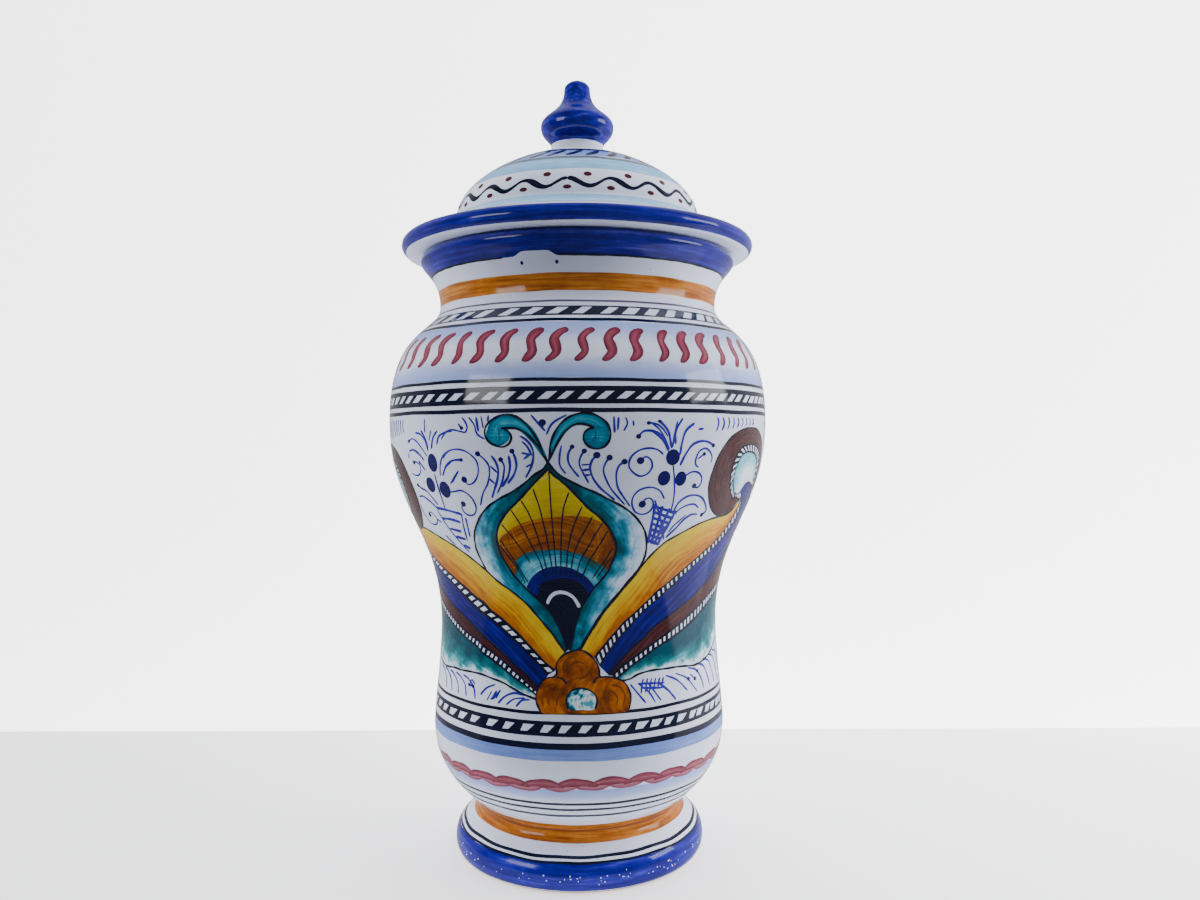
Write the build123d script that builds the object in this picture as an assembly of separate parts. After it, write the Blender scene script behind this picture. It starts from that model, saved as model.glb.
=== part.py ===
from build123d import *
import os

# Lidded apothecary jar of wheel-thrown, tin-glazed earthenware.
# Four pieces of clay: the waisted jar, the foot ring luted under it, the domed lid with its
# locating collar, and the finial knob luted on the lid. Millimetres, +Z up, origin at the
# centre of the foot, on the surface that the jar stands on.

# Walls
WALL = 5.5              # thrown wall of the jar, measured across the axis
FLOOR = 7.0             # floor of the jar
LID_WALL = 4.8          # shell of the dome

# Foot ring: a flared pedestal with a half-round rim, hollow underneath
FOOT_HEIGHT = 20.0      # luted joint under the jar, above the table
FOOT_NECK_RADIUS = 40.0
FOOT_RIM_RADIUS = 49.2  # widest point of the half-round rim
FOOT_RIM_HEIGHT = 5.0   # height of that widest point
SOLE_INSET = 3.6        # flat standing ring in from that widest point
SOLE_WIDTH = 6.6        # width of the flat standing ring
FOOT_WALL = 9.0         # foot ring where it meets the jar

# Jar: radii of the outline's turning points and the height steps between them
HIP_RADIUS = 57.4
WAIST_RADIUS = 54.6
BELLY_RADIUS = 74.4
NECK_RADIUS = 54.6
LIP_FLARE = 7.4         # how far the lip stands out from the neck
HIP_RISE = 30.8         # foot joint to hip
WAIST_RISE = 39.2       # hip to waist
BELLY_RISE = 78.5       # waist to belly
NECK_RISE = 45.0        # belly to neck
LIP_RISE = 17.0         # neck to the widest point of the lip
LIP_ROUND = 2.8         # rounded edge above that point
LIP_THICKNESS = 6.5     # lip, from the mouth to its widest point
FLOOR_RADIUS = 30.0     # flat of the floor inside

# Lid: flange with a half-round rim, dome, and a collar that drops into the mouth
FLANGE_OVERHANG = 7.3   # rim of the lid beyond the lip
FLANGE_THICKNESS = 6.7
FLANGE_ROUND = 3.8      # horizontal depth of the half-round rim
DOME_INSET = 21.1       # foot of the dome in from the rim
DOME_BASE_RISE = 8.2    # foot of the dome above the flange's upper face
DOME_RISE = 26.4        # dome above its foot
COLLAR_DEPTH = 8.0      # collar below the underside of the flange
COLLAR_WIDTH = 4.6
COLLAR_CLEARANCE = 1.6  # radial gap between collar and mouth at the collar's lower edge
EDGE_ROUND = 1.2        # softened edges of collar and mouth

# Knob: a finial with a collar, a bulb and a drawn-out tip
KNOB_FOOT_RADIUS = 11.2
KNOB_COLLAR_RADIUS = 10.4
KNOB_BULB_RADIUS = 14.6
KNOB_TIP_RADIUS = 5.2
KNOB_COLLAR_RISE = 3.4  # seat to collar
KNOB_BULB_RISE = 8.5    # collar to bulb
KNOB_TIP_RISE = 14.9    # bulb to the shoulder of the tip
KNOB_END_RISE = 3.6     # tip's shoulder to its end
KNOB_SEAT_MARGIN = 1.0  # flat of the dome beyond the knob's foot

# Heights that follow from the steps
HIP_Z = FOOT_HEIGHT + HIP_RISE
WAIST_Z = HIP_Z + WAIST_RISE
BELLY_Z = WAIST_Z + BELLY_RISE
NECK_Z = BELLY_Z + NECK_RISE
LIP_Z = NECK_Z + LIP_RISE
SEAT_Z = LIP_Z + LIP_ROUND
FLOOR_Z = FOOT_HEIGHT + FLOOR
FLANGE_TOP_Z = SEAT_Z + FLANGE_THICKNESS
DOME_Z = FLANGE_TOP_Z + DOME_BASE_RISE
CROWN_Z = DOME_Z + DOME_RISE
COLLAR_Z = SEAT_Z - COLLAR_DEPTH

SOLE_RADIUS = FOOT_RIM_RADIUS - SOLE_INSET
FOOT_BORE_RADIUS = FOOT_NECK_RADIUS - FOOT_WALL
LIP_RADIUS = NECK_RADIUS + LIP_FLARE
MOUTH_RADIUS = LIP_RADIUS - LIP_THICKNESS
THROAT_RADIUS = NECK_RADIUS - WALL
RIM_RADIUS = LIP_RADIUS + FLANGE_OVERHANG
DOME_BASE_RADIUS = RIM_RADIUS - DOME_INSET


def swell(start, end, start_pull, end_pull):
    """Corner points of one outline curve that leaves and arrives upright, as a share of its rise."""
    rise = end[1] - start[1]
    return [
        start,
        (start[0], start[1] + start_pull * rise),
        (end[0], end[1] - end_pull * rise),
        end,
    ]


def along(corners, share):
    """Point of a cubic curve at a share of its parameter."""
    rest = 1 - share
    weights = (rest**3, 3 * rest**2 * share, 3 * rest * share**2, share**3)
    return tuple(sum(w * c[i] for w, c in zip(weights, corners)) for i in (0, 1))


def radius_at(corners, height):
    """Radius of a rising outline curve at a height, found by halving."""
    low, high = 0.0, 1.0
    for _ in range(40):
        middle = (low + high) / 2
        if along(corners, middle)[1] < height:
            low = middle
        else:
            high = middle
    return along(corners, low)[0]


def turned(curves, lines):
    """Solid of revolution about Z from curves and polylines drawn as (radius, height)."""
    edges = [Bezier(*corners) for corners in curves]
    for points in lines:
        edges += Polyline(*points).edges()
    return revolve(Plane.XZ * make_face(edges), Axis.Z, 360)


MOUTH_CURVE = swell((THROAT_RADIUS, NECK_Z), (MOUTH_RADIUS, LIP_Z), 0.66, 0.17)


def jar_body():
    """Waisted jar: one thrown wall from the floor to the rolled lip, with the lid's seat on top."""
    outside = [
        swell((FOOT_NECK_RADIUS, FOOT_HEIGHT), (HIP_RADIUS, HIP_Z), 0.05, 0.65),
        swell((HIP_RADIUS, HIP_Z), (WAIST_RADIUS, WAIST_Z), 0.19, 0.3),
        swell((WAIST_RADIUS, WAIST_Z), (BELLY_RADIUS, BELLY_Z), 0.45, 0.44),
        swell((BELLY_RADIUS, BELLY_Z), (NECK_RADIUS, NECK_Z), 0.83, 0.25),
        swell((NECK_RADIUS, NECK_Z), (LIP_RADIUS, LIP_Z), 0.66, 0.17),
    ]
    seat_outer = LIP_RADIUS - 0.8 * LIP_ROUND
    lip = [
        (LIP_RADIUS, LIP_Z),
        (LIP_RADIUS, LIP_Z + 0.55 * LIP_ROUND),
        (seat_outer + 0.5 * LIP_ROUND, SEAT_Z),
        (seat_outer, SEAT_Z),
    ]
    mouth_edge = [
        (MOUTH_RADIUS, LIP_Z),
        (MOUTH_RADIUS, SEAT_Z - 0.4 * EDGE_ROUND),
        (MOUTH_RADIUS + 0.6 * EDGE_ROUND, SEAT_Z),
        (MOUTH_RADIUS + EDGE_ROUND, SEAT_Z),
    ]
    inner_hip = HIP_RADIUS - WALL
    inside = [
        MOUTH_CURVE,
        swell((BELLY_RADIUS - WALL, BELLY_Z), (THROAT_RADIUS, NECK_Z), 0.76, 0.33),
        swell((WAIST_RADIUS - WALL, WAIST_Z), (BELLY_RADIUS - WALL, BELLY_Z), 0.45, 0.44),
        swell((inner_hip, HIP_Z), (WAIST_RADIUS - WALL, WAIST_Z), 0.19, 0.3),
        [
            (inner_hip, HIP_Z),
            (inner_hip, HIP_Z - 0.7 * (HIP_Z - FLOOR_Z)),
            (FLOOR_RADIUS + 0.55 * (inner_hip - FLOOR_RADIUS), FLOOR_Z),
            (FLOOR_RADIUS, FLOOR_Z),
        ],
    ]
    seat = [(seat_outer, SEAT_Z), (MOUTH_RADIUS + EDGE_ROUND, SEAT_Z)]
    floor = [(FLOOR_RADIUS, FLOOR_Z), (0, FLOOR_Z), (0, FOOT_HEIGHT), (FOOT_NECK_RADIUS, FOOT_HEIGHT)]
    return turned([*outside, lip, mouth_edge, *inside], [seat, floor])


def jar_foot():
    """Flared foot ring with a half-round rim, a flat standing ring and a hollow underside."""
    flare = swell((FOOT_RIM_RADIUS, FOOT_RIM_HEIGHT), (FOOT_NECK_RADIUS, FOOT_HEIGHT), 0.61, 0.44)
    under = [
        (FOOT_RIM_RADIUS, FOOT_RIM_HEIGHT),
        (FOOT_RIM_RADIUS, 0.38 * FOOT_RIM_HEIGHT),
        (SOLE_RADIUS + 0.55 * (FOOT_RIM_RADIUS - SOLE_RADIUS), 0),
        (SOLE_RADIUS, 0),
    ]
    sole_inner = SOLE_RADIUS - SOLE_WIDTH
    hollow = [
        (sole_inner, 0),
        (sole_inner - 0.1 * (sole_inner - FOOT_BORE_RADIUS), 0.5 * FOOT_HEIGHT),
        (FOOT_BORE_RADIUS, 0.4 * FOOT_HEIGHT),
        (FOOT_BORE_RADIUS, FOOT_HEIGHT),
    ]
    sole = [(SOLE_RADIUS, 0), (sole_inner, 0)]
    joint = [(FOOT_BORE_RADIUS, FOOT_HEIGHT), (FOOT_NECK_RADIUS, FOOT_HEIGHT)]
    return turned([flare, under, hollow], [sole, joint])


def lid():
    """Domed lid: flange that rests on the lip, hollow dome, and collar that centres it in the mouth."""
    collar_radius = radius_at(MOUTH_CURVE, COLLAR_Z) - COLLAR_CLEARANCE
    collar_inner = collar_radius - COLLAR_WIDTH
    seat_radius = KNOB_FOOT_RADIUS + KNOB_SEAT_MARGIN
    flange_edge = RIM_RADIUS - FLANGE_ROUND
    middle = SEAT_Z + FLANGE_THICKNESS / 2
    bead = 0.55 * FLANGE_THICKNESS / 2
    rim_lower = [
        (flange_edge, SEAT_Z),
        (RIM_RADIUS - 0.4 * FLANGE_ROUND, SEAT_Z),
        (RIM_RADIUS, middle - bead),
        (RIM_RADIUS, middle),
    ]
    rim_upper = [
        (RIM_RADIUS, middle),
        (RIM_RADIUS, middle + bead),
        (RIM_RADIUS - 0.4 * FLANGE_ROUND, FLANGE_TOP_Z),
        (flange_edge, FLANGE_TOP_Z),
    ]
    sweep_run = flange_edge - DOME_BASE_RADIUS
    sweep_up = [
        (flange_edge, FLANGE_TOP_Z),
        (flange_edge - 0.32 * sweep_run, FLANGE_TOP_Z + 0.16 * DOME_BASE_RISE),
        (DOME_BASE_RADIUS + 0.05 * sweep_run, DOME_Z - 0.3 * DOME_BASE_RISE),
        (DOME_BASE_RADIUS, DOME_Z),
    ]
    inner_base = DOME_BASE_RADIUS - LID_WALL
    inner_crown = CROWN_Z - LID_WALL
    dome, inner_dome = (
        [
            (base, DOME_Z),
            (base, DOME_Z + 0.6 * (crown - DOME_Z)),
            (seat_radius + 0.13 * (base - seat_radius), crown),
            (seat_radius, crown),
        ]
        for base, crown in ((DOME_BASE_RADIUS, CROWN_Z), (inner_base, inner_crown))
    )
    inner_sweep = swell((collar_inner, SEAT_Z), (inner_base, DOME_Z), 0.3, 0.3)
    crown = [(seat_radius, CROWN_Z), (0, CROWN_Z), (0, inner_crown), (seat_radius, inner_crown)]
    collar = [
        (collar_inner, SEAT_Z),
        (collar_inner, COLLAR_Z + EDGE_ROUND),
        (collar_inner + EDGE_ROUND, COLLAR_Z),
        (collar_radius - EDGE_ROUND, COLLAR_Z),
        (collar_radius, COLLAR_Z + EDGE_ROUND),
        (collar_radius, SEAT_Z),
        (flange_edge, SEAT_Z),
    ]
    return turned([rim_lower, rim_upper, sweep_up, dome, inner_dome, inner_sweep], [crown, collar])


def lid_knob():
    """Finial knob: short collar, bulb and drawn-out tip, solid clay."""
    collar_z = CROWN_Z + KNOB_COLLAR_RISE
    bulb_z = collar_z + KNOB_BULB_RISE
    tip_z = bulb_z + KNOB_TIP_RISE
    end_z = tip_z + KNOB_END_RISE
    curves = [
        swell((KNOB_FOOT_RADIUS, CROWN_Z), (KNOB_COLLAR_RADIUS, collar_z), 0.3, 0.4),
        swell((KNOB_COLLAR_RADIUS, collar_z), (KNOB_BULB_RADIUS, bulb_z), 0.43, 0.57),
        swell((KNOB_BULB_RADIUS, bulb_z), (KNOB_TIP_RADIUS, tip_z), 0.41, 0.43),
        [
            (KNOB_TIP_RADIUS, tip_z),
            (KNOB_TIP_RADIUS, tip_z + 0.55 * KNOB_END_RISE),
            (0.55 * KNOB_TIP_RADIUS, end_z),
            (0, end_z),
        ],
    ]
    return turned(curves, [[(0, end_z), (0, CROWN_Z), (KNOB_FOOT_RADIUS, CROWN_Z)]])


os.makedirs("parts", exist_ok=True)
for name, make in (
    ("jar_body", jar_body),
    ("jar_foot", jar_foot),
    ("lid", lid),
    ("lid_knob", lid_knob),
):
    export_step(make(), f"parts/{name}.step")
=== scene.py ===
import math
import random

import bpy
import numpy as np
from mathutils import Matrix


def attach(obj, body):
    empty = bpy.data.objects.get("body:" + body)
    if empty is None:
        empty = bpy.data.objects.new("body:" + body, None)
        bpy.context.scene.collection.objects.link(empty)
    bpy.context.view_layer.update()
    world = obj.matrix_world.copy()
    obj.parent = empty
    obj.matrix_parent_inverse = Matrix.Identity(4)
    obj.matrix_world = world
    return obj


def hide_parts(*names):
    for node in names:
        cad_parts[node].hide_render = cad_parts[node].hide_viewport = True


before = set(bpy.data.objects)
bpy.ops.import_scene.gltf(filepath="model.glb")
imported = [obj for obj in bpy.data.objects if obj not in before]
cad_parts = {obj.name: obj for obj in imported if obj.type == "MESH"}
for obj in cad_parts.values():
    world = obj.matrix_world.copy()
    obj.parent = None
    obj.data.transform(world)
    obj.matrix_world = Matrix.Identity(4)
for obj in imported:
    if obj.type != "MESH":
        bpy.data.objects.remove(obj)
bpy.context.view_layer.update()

# The jar's wall
# One thrown wall of buff earthenware from the floor to the rolled lip, dipped in white tin glaze.
# It is turned here from the same outline as the solid, fine enough for the gloss to run smooth, and
# 0.1 mm slimmer at the belly, which leaves room for the paint.
MM = 0.001
SEGMENTS = 320          # facets round the jar
HIP, WAIST, BELLY, NECK = (57.4, 50.8), (54.6, 90.0), (74.3, 168.5), (54.6, 213.5)
LIP = (62.0, 230.5)
JOINT = (40.0, 20.0)    # where the foot ring is luted on
SEAT_HEIGHT = 233.3
JAR_WALL = 5.5
FLOOR_HEIGHT = 27.0
FLOOR_RADIUS = 30.0
MOUTH_RADIUS = 55.5


def swell(start, end, start_pull, end_pull):
    """Outline curve between two points, upright at both."""
    rise = end[1] - start[1]
    return [start, (start[0], start[1] + start_pull * rise), (end[0], end[1] - end_pull * rise), end]


def outline(*curves, spacing=1.0):
    """Points about a spacing apart in mm along curves and corner points, as (radius, height)."""
    points = []
    for curve in curves:
        corners = np.array(curve, float)
        if len(corners) == 4:
            count = max(4, round(np.linalg.norm(np.diff(corners, axis=0), axis=1).sum() / spacing))
            t = np.linspace(0, 1, count + 1)[:, None]
            near, far = 1 - t, t
            corners = (
                near**3 * corners[0]
                + 3 * near**2 * far * corners[1]
                + 3 * near * far**2 * corners[2]
                + far**3 * corners[3]
            )
        points.extend(corners.tolist())
    return np.array([p for i, p in enumerate(points) if i == 0 or math.dist(p, points[i - 1]) > 1e-4])


def turned(name, profile, segments=SEGMENTS):
    """Solid of revolution from a closed outline, or one that starts and ends on the axis."""
    angles = np.linspace(0, 2 * math.pi, segments, endpoint=False)
    vertices, rings = [], []
    for radius, height in profile:
        if radius < 1e-6:
            rings.append([len(vertices)] * segments)
            vertices.append((0, 0, height * MM))
        else:
            rings.append(list(range(len(vertices), len(vertices) + segments)))
            vertices.extend(
                (radius * MM * math.sin(a), -radius * MM * math.cos(a), height * MM) for a in angles
            )
    faces = []
    on_axis = profile[0][0] < 1e-6
    pairs = zip(rings, rings[1:] if on_axis else rings[1:] + rings[:1])
    for low, high in pairs:
        for i in range(segments):
            j = (i + 1) % segments
            corners = dict.fromkeys((low[i], low[j], high[j], high[i]))
            if len(corners) > 2:
                faces.append(list(corners))
    mesh = bpy.data.meshes.new(name)
    mesh.from_pydata(vertices, [], faces)
    mesh.shade_smooth()
    mesh.set_sharp_from_angle(angle=math.radians(42))
    piece = bpy.data.objects.new(name, mesh)
    bpy.context.scene.collection.objects.link(piece)
    return piece


def paint_colour(hexa, alpha=1.0):
    """sRGB hex to the linear colour that Blender works in."""
    parts = [int(hexa[i : i + 2], 16) / 255 for i in (1, 3, 5)]
    linear = [c / 12.92 if c <= 0.04045 else ((c + 0.055) / 1.055) ** 2.4 for c in parts]
    return (*linear, alpha)


def add(tree, kind, inputs=None, stops=(), **settings):
    """One node with its settings. An input is a value or another node's output; stops fill a ramp."""
    node = tree.nodes.new("ShaderNode" + kind)
    for key, value in settings.items():
        setattr(node, key, value)
    for key, value in (inputs or {}).items():
        if isinstance(value, bpy.types.NodeSocket):
            tree.links.new(value, node.inputs[key])
        else:
            node.inputs[key].default_value = value
    for i, (position, hexa) in enumerate(stops):
        ramp = node.color_ramp.elements
        stop = ramp[i] if i < len(ramp) else ramp.new(position)
        stop.position, stop.color = position, paint_colour(hexa)
    return node


THROWING_WAVE = 0.014   # metres between the slow waves that throwing leaves
ORANGE_PEEL = 0.0022    # metres between the dimples of the fired glaze


def glazed(name, gloss=0.09):
    """Fired glossy glaze, still without its colour: slow throwing waves and a faint orange peel."""
    material = bpy.data.materials.new(name)
    material.use_nodes = True
    tree = material.node_tree
    shader = tree.nodes["Principled BSDF"]
    shader.inputs["IOR"].default_value = 1.52
    shader.inputs["Specular IOR Level"].default_value = 0.42
    shader.inputs["Roughness"].default_value = gloss
    place = add(tree, "TexCoord").outputs["Object"]
    waves = add(tree, "TexNoise", {"Vector": place, "Scale": 1 / THROWING_WAVE, "Detail": 1.0})
    peel = add(tree, "TexNoise", {"Vector": place, "Scale": 1 / ORANGE_PEEL, "Detail": 2.0})
    wave_bump = add(tree, "Bump", {"Height": waves.outputs["Fac"], "Strength": 0.5, "Distance": 0.0004})
    peel_bump = add(
        tree,
        "Bump",
        {
            "Height": peel.outputs["Fac"],
            "Strength": 0.35,
            "Distance": 0.00003,
            "Normal": wave_bump.outputs["Normal"],
        },
    )
    tree.links.new(peel_bump.outputs["Normal"], shader.inputs["Normal"])
    return material, tree, shader, place


# White tin glaze: opaque, a little blue where it is thick, with pinholes and specks of iron.
tin_glaze, tree, shader, place = glazed("white_tin_glaze")
thickness = add(tree, "TexNoise", {"Vector": place, "Scale": 38.0, "Detail": 3.0, "Roughness": 0.6})
white = add(
    tree,
    "ValToRGB",
    {"Fac": thickness.outputs["Fac"]},
    stops=[(0.3, "#cfd8f2"), (0.7, "#dfe5f7")],
)
specks = add(tree, "TexVoronoi", {"Vector": place, "Scale": 150.0, "Randomness": 1.0})
speck_mask = add(
    tree,
    "ValToRGB",
    {"Fac": specks.outputs["Distance"]},
    stops=[(0.035, "#6d6672"), (0.06, "#ffffff")],
)
speckled = add(
    tree,
    "MixRGB",
    {"Fac": 0.5, "Color1": white.outputs["Color"], "Color2": speck_mask.outputs["Color"]},
    blend_type="MULTIPLY",
)
tree.links.new(speckled.outputs["Color"], shader.inputs["Base Color"])

jar_outside = [
    swell(JOINT, HIP, 0.05, 0.65),
    swell(HIP, WAIST, 0.19, 0.3),
    swell(WAIST, BELLY, 0.45, 0.44),
    swell(BELLY, NECK, 0.83, 0.25),
    swell(NECK, LIP, 0.66, 0.17),
    [LIP, (62.0, 232.04), (61.16, SEAT_HEIGHT), (59.76, SEAT_HEIGHT)],
]


def inner(point):
    """The same turning point on the inside of the wall."""
    return (point[0] - JAR_WALL, point[1])


inside_hip = inner(HIP)
jar_inside = [
    [(56.7, SEAT_HEIGHT), (56.22, SEAT_HEIGHT), (MOUTH_RADIUS, 232.82), (MOUTH_RADIUS, LIP[1])],
    swell(inner(NECK), (MOUTH_RADIUS, LIP[1]), 0.66, 0.17)[::-1],
    swell(inner(BELLY), inner(NECK), 0.76, 0.33)[::-1],
    swell(inner(WAIST), inner(BELLY), 0.45, 0.44)[::-1],
    swell(inside_hip, inner(WAIST), 0.19, 0.3)[::-1],
    [
        inside_hip,
        (inside_hip[0], inside_hip[1] - 0.7 * (inside_hip[1] - FLOOR_HEIGHT)),
        (FLOOR_RADIUS + 0.55 * (inside_hip[0] - FLOOR_RADIUS), FLOOR_HEIGHT),
        (FLOOR_RADIUS, FLOOR_HEIGHT),
    ],
]
wall_profile = np.vstack(
    [[(0, JOINT[1])], outline(*jar_outside), outline(*jar_inside, spacing=3.0), [(0, FLOOR_HEIGHT)]]
)
jar_wall = turned("jar_wall", wall_profile)
jar_wall.data.materials.append(tin_glaze)
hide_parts("jar_body")
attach(jar_wall, "jar")

# The foot ring
# A flared ring thrown by itself and luted under the jar with slip, glazed like it but for the edge
# that stood on the kiln shelf, where the buff clay shows bare.
RIM = (49.2, 5.0)
SOLE_OUTER, SOLE_INNER = 45.6, 39.0
BORE_RADIUS = 31.0
BARE_HEIGHT = 1.3       # glaze is wiped back to here
foot_outside = [
    [(SOLE_OUTER, 0.0), (47.58, 0.0), (RIM[0], 1.9), RIM],
    swell(RIM, JOINT, 0.61, 0.44),
]
foot_hollow = [(BORE_RADIUS, 20.0), (BORE_RADIUS, 8.0), (38.2, 10.0), (SOLE_INNER, 0.0)]
foot_ring = turned("foot_ring", np.vstack([outline(*foot_outside, spacing=0.8), outline(foot_hollow)]))
bare_clay = bpy.data.materials.new("bare_fired_clay")
bare_clay.use_nodes = True
clay_tree = bare_clay.node_tree
clay_shader = clay_tree.nodes["Principled BSDF"]
clay_shader.inputs["Roughness"].default_value = 0.85
clay_place = add(clay_tree, "TexCoord").outputs["Object"]
grog = add(clay_tree, "TexNoise", {"Vector": clay_place, "Scale": 900.0, "Detail": 4.0})
clay = add(
    clay_tree,
    "ValToRGB",
    {"Fac": grog.outputs["Fac"]},
    stops=[(0.35, "#7d5238"), (0.65, "#b98a63")],
)
clay_tree.links.new(clay.outputs["Color"], clay_shader.inputs["Base Color"])
clay_bump = add(clay_tree, "Bump", {"Height": grog.outputs["Fac"], "Strength": 0.6, "Distance": 0.0001})
clay_tree.links.new(clay_bump.outputs["Normal"], clay_shader.inputs["Normal"])
foot_ring.data.materials.append(tin_glaze)
foot_ring.data.materials.append(bare_clay)
for face in foot_ring.data.polygons:
    face.material_index = int(face.center.z < BARE_HEIGHT * MM)
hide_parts("jar_foot")
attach(foot_ring, "jar")

# The lid
# A domed lid thrown as one shell: a flange with a half-round rim that rests on the jar's lip, and
# under it a collar that drops into the mouth and keeps the lid centred. White tin glaze.
FLANGE_EDGE, FLANGE_RADIUS = 65.5, 69.3
FLANGE_TOP = 240.0
DOME = (48.2, 248.2)
CROWN = (12.2, 274.6)
LID_WALL = 4.8
COLLAR_HEIGHT = 225.3
COLLAR_OUTER, COLLAR_INNER = 50.81, 46.21
rim_middle = (SEAT_HEIGHT + FLANGE_TOP) / 2
lid_outside = [
    [(FLANGE_EDGE, SEAT_HEIGHT), (67.78, SEAT_HEIGHT), (FLANGE_RADIUS, 234.81), (FLANGE_RADIUS, rim_middle)],
    [(FLANGE_RADIUS, rim_middle), (FLANGE_RADIUS, 238.49), (67.78, FLANGE_TOP), (FLANGE_EDGE, FLANGE_TOP)],
    [(FLANGE_EDGE, FLANGE_TOP), (59.96, 241.31), (49.07, 245.74), DOME],
    [DOME, (DOME[0], 264.04), (16.88, CROWN[1]), CROWN],
]
inner_dome = (DOME[0] - LID_WALL, DOME[1])
inner_crown = (CROWN[0], CROWN[1] - LID_WALL)
lid_inside = [
    [inner_crown, (16.26, inner_crown[1]), (inner_dome[0], 261.16), inner_dome],
    swell((COLLAR_INNER, SEAT_HEIGHT), inner_dome, 0.3, 0.3)[::-1],
    [(COLLAR_INNER, COLLAR_HEIGHT + 1.2)],
    [(COLLAR_INNER + 1.2, COLLAR_HEIGHT)],
    [(COLLAR_OUTER - 1.2, COLLAR_HEIGHT)],
    [(COLLAR_OUTER, COLLAR_HEIGHT + 1.2)],
    [(COLLAR_OUTER, SEAT_HEIGHT)],
]
lid_profile = np.vstack(
    [
        [(0, inner_crown[1])],
        outline(*lid_inside, spacing=2.0),
        outline(*lid_outside),
        [(0, CROWN[1])],
    ]
)
lid_shell = turned("lid_shell", lid_profile)
lid_shell.data.materials.append(tin_glaze)
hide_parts("lid")
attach(lid_shell, "lid")

# The knob
# A solid finial thrown off the hump and luted on the crown: collar, bulb and drawn-out tip.
# Its collar stays white and the rest is washed in cobalt.
KNOB_FOOT, KNOB_COLLAR, KNOB_BULB, KNOB_TIP = (11.2, 274.6), (10.4, 278.0), (14.6, 286.5), (5.2, 301.4)
knob_outside = [
    swell(KNOB_FOOT, KNOB_COLLAR, 0.3, 0.4),
    swell(KNOB_COLLAR, KNOB_BULB, 0.43, 0.57),
    swell(KNOB_BULB, KNOB_TIP, 0.31, 0.62),
    [KNOB_TIP, (KNOB_TIP[0], 303.38), (2.86, 305.0), (0.0, 305.0)],
]
knob = turned("knob", np.vstack([[(0, CROWN[1])], outline(*knob_outside, spacing=0.5)]), 128)
knob.data.materials.append(tin_glaze)
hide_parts("lid_knob")
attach(knob, "lid")

# Banding lines of the jar
# Laid with a loaded brush held still while the jar turned on the banding wheel, so each runs all
# round with a slow sway and its edges are a little uneven. Each is a film of colour in the glaze.
FIRST_FILM = 0.015      # mm that the lowest film stands off the white glaze
FILM_STEP = 0.0175      # mm from one layer of films to the next
PATCH_STEP = 0.0004     # mm between patches of one film, so that none lies in another's plane
BURIED = 0.06           # mm that a film's underside is let into the glaze


def skin_of(curves):
    """What a brush meets on a turned piece: height, radius, the way straight out, and slope so far."""
    line = outline(*curves, spacing=0.4)
    line = line[np.concatenate([[True], np.diff(line[:, 1]) > 1e-6])]
    run = np.gradient(line, axis=0)
    length = np.linalg.norm(run, axis=1)
    slope = np.concatenate([[0], np.cumsum(np.linalg.norm(np.diff(line, axis=0), axis=1))])
    return line[:, 1], line[:, 0], run[:, 1] / length, -run[:, 0] / length, slope


def radius_at(skin, height):
    return np.interp(height, skin[0], skin[1])


def on_skin(skin, places, lift):
    """Points in metres, and the ways straight out, for places as (degrees to the right, height)."""
    angle, height = np.radians(places[..., 0]), places[..., 1]
    out, up = np.interp(height, skin[0], skin[2]), np.interp(height, skin[0], skin[3])
    radius = radius_at(skin, height) + lift * out
    ways = np.stack([out * np.sin(angle), -out * np.cos(angle), up], -1)
    points = np.stack([radius * np.sin(angle), -radius * np.cos(angle), height + lift * up], -1)
    return points * MM, ways


def film(name, body, skin, patches, material, layer=0):
    """A thin closed film of colour on a turned piece, from patches of places laid as grids."""
    vertices, ways, faces, brushes, shades = [], [], [], [], []
    count = 0
    for k, patch in enumerate(patches):
        places, brush, shade, closed = patch
        rows, columns = places.shape[:2]
        lift = FIRST_FILM + FILM_STEP * layer + PATCH_STEP * (k % 40)
        for height in (lift, -BURIED):
            points, out = on_skin(skin, places, height)
            vertices.append(points.reshape(-1, 3))
            ways.append(out.reshape(-1, 3))
            brushes.append(brush.reshape(-1, 3))
            shades.append(shade.reshape(-1))
        top = np.arange(rows * columns).reshape(rows, columns) + count
        if closed:
            top = np.vstack([top, top[:1]])
        under = rows * columns
        quads = np.stack([top[:-1, :-1], top[1:, :-1], top[1:, 1:], top[:-1, 1:]], -1).reshape(-1, 4)
        if closed:
            edges = [top[:, 0], top[::-1, -1]]
        else:
            edges = [np.concatenate([top[:, 0], top[-1, 1:], top[-2::-1, -1], top[0, -2::-1]])]
        sides = [
            np.stack([edge[1:], edge[:-1], edge[:-1] + under, edge[1:] + under], -1) for edge in edges
        ]
        patch_faces = np.vstack([quads, quads[:, ::-1] + under, *sides])
        middle = places[rows // 2]
        forward = places[min(rows // 2 + 1, rows - 1)][0] - middle[0]
        sideways = middle[-1] - middle[0]
        if forward[0] * sideways[1] - forward[1] * sideways[0] < 0:
            patch_faces = patch_faces[:, ::-1]
        faces.append(patch_faces)
        count += 2 * under
    mesh = bpy.data.meshes.new(name)
    mesh.from_pydata(np.vstack(vertices).tolist(), [], np.vstack(faces).tolist())
    mesh.shade_smooth()
    mesh.attributes.new("brush", "FLOAT_VECTOR", "POINT").data.foreach_set(
        "vector", np.vstack(brushes).astype(np.float32).ravel()
    )
    mesh.attributes.new("shade", "FLOAT", "POINT").data.foreach_set(
        "value", np.concatenate(shades).astype(np.float32)
    )
    mesh.normals_split_custom_set_from_vertices(np.vstack(ways).tolist())
    mesh.materials.append(material)
    piece = bpy.data.objects.new(name, mesh)
    bpy.context.scene.collection.objects.link(piece)
    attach(piece, body)


chance = random.Random(12)


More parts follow.
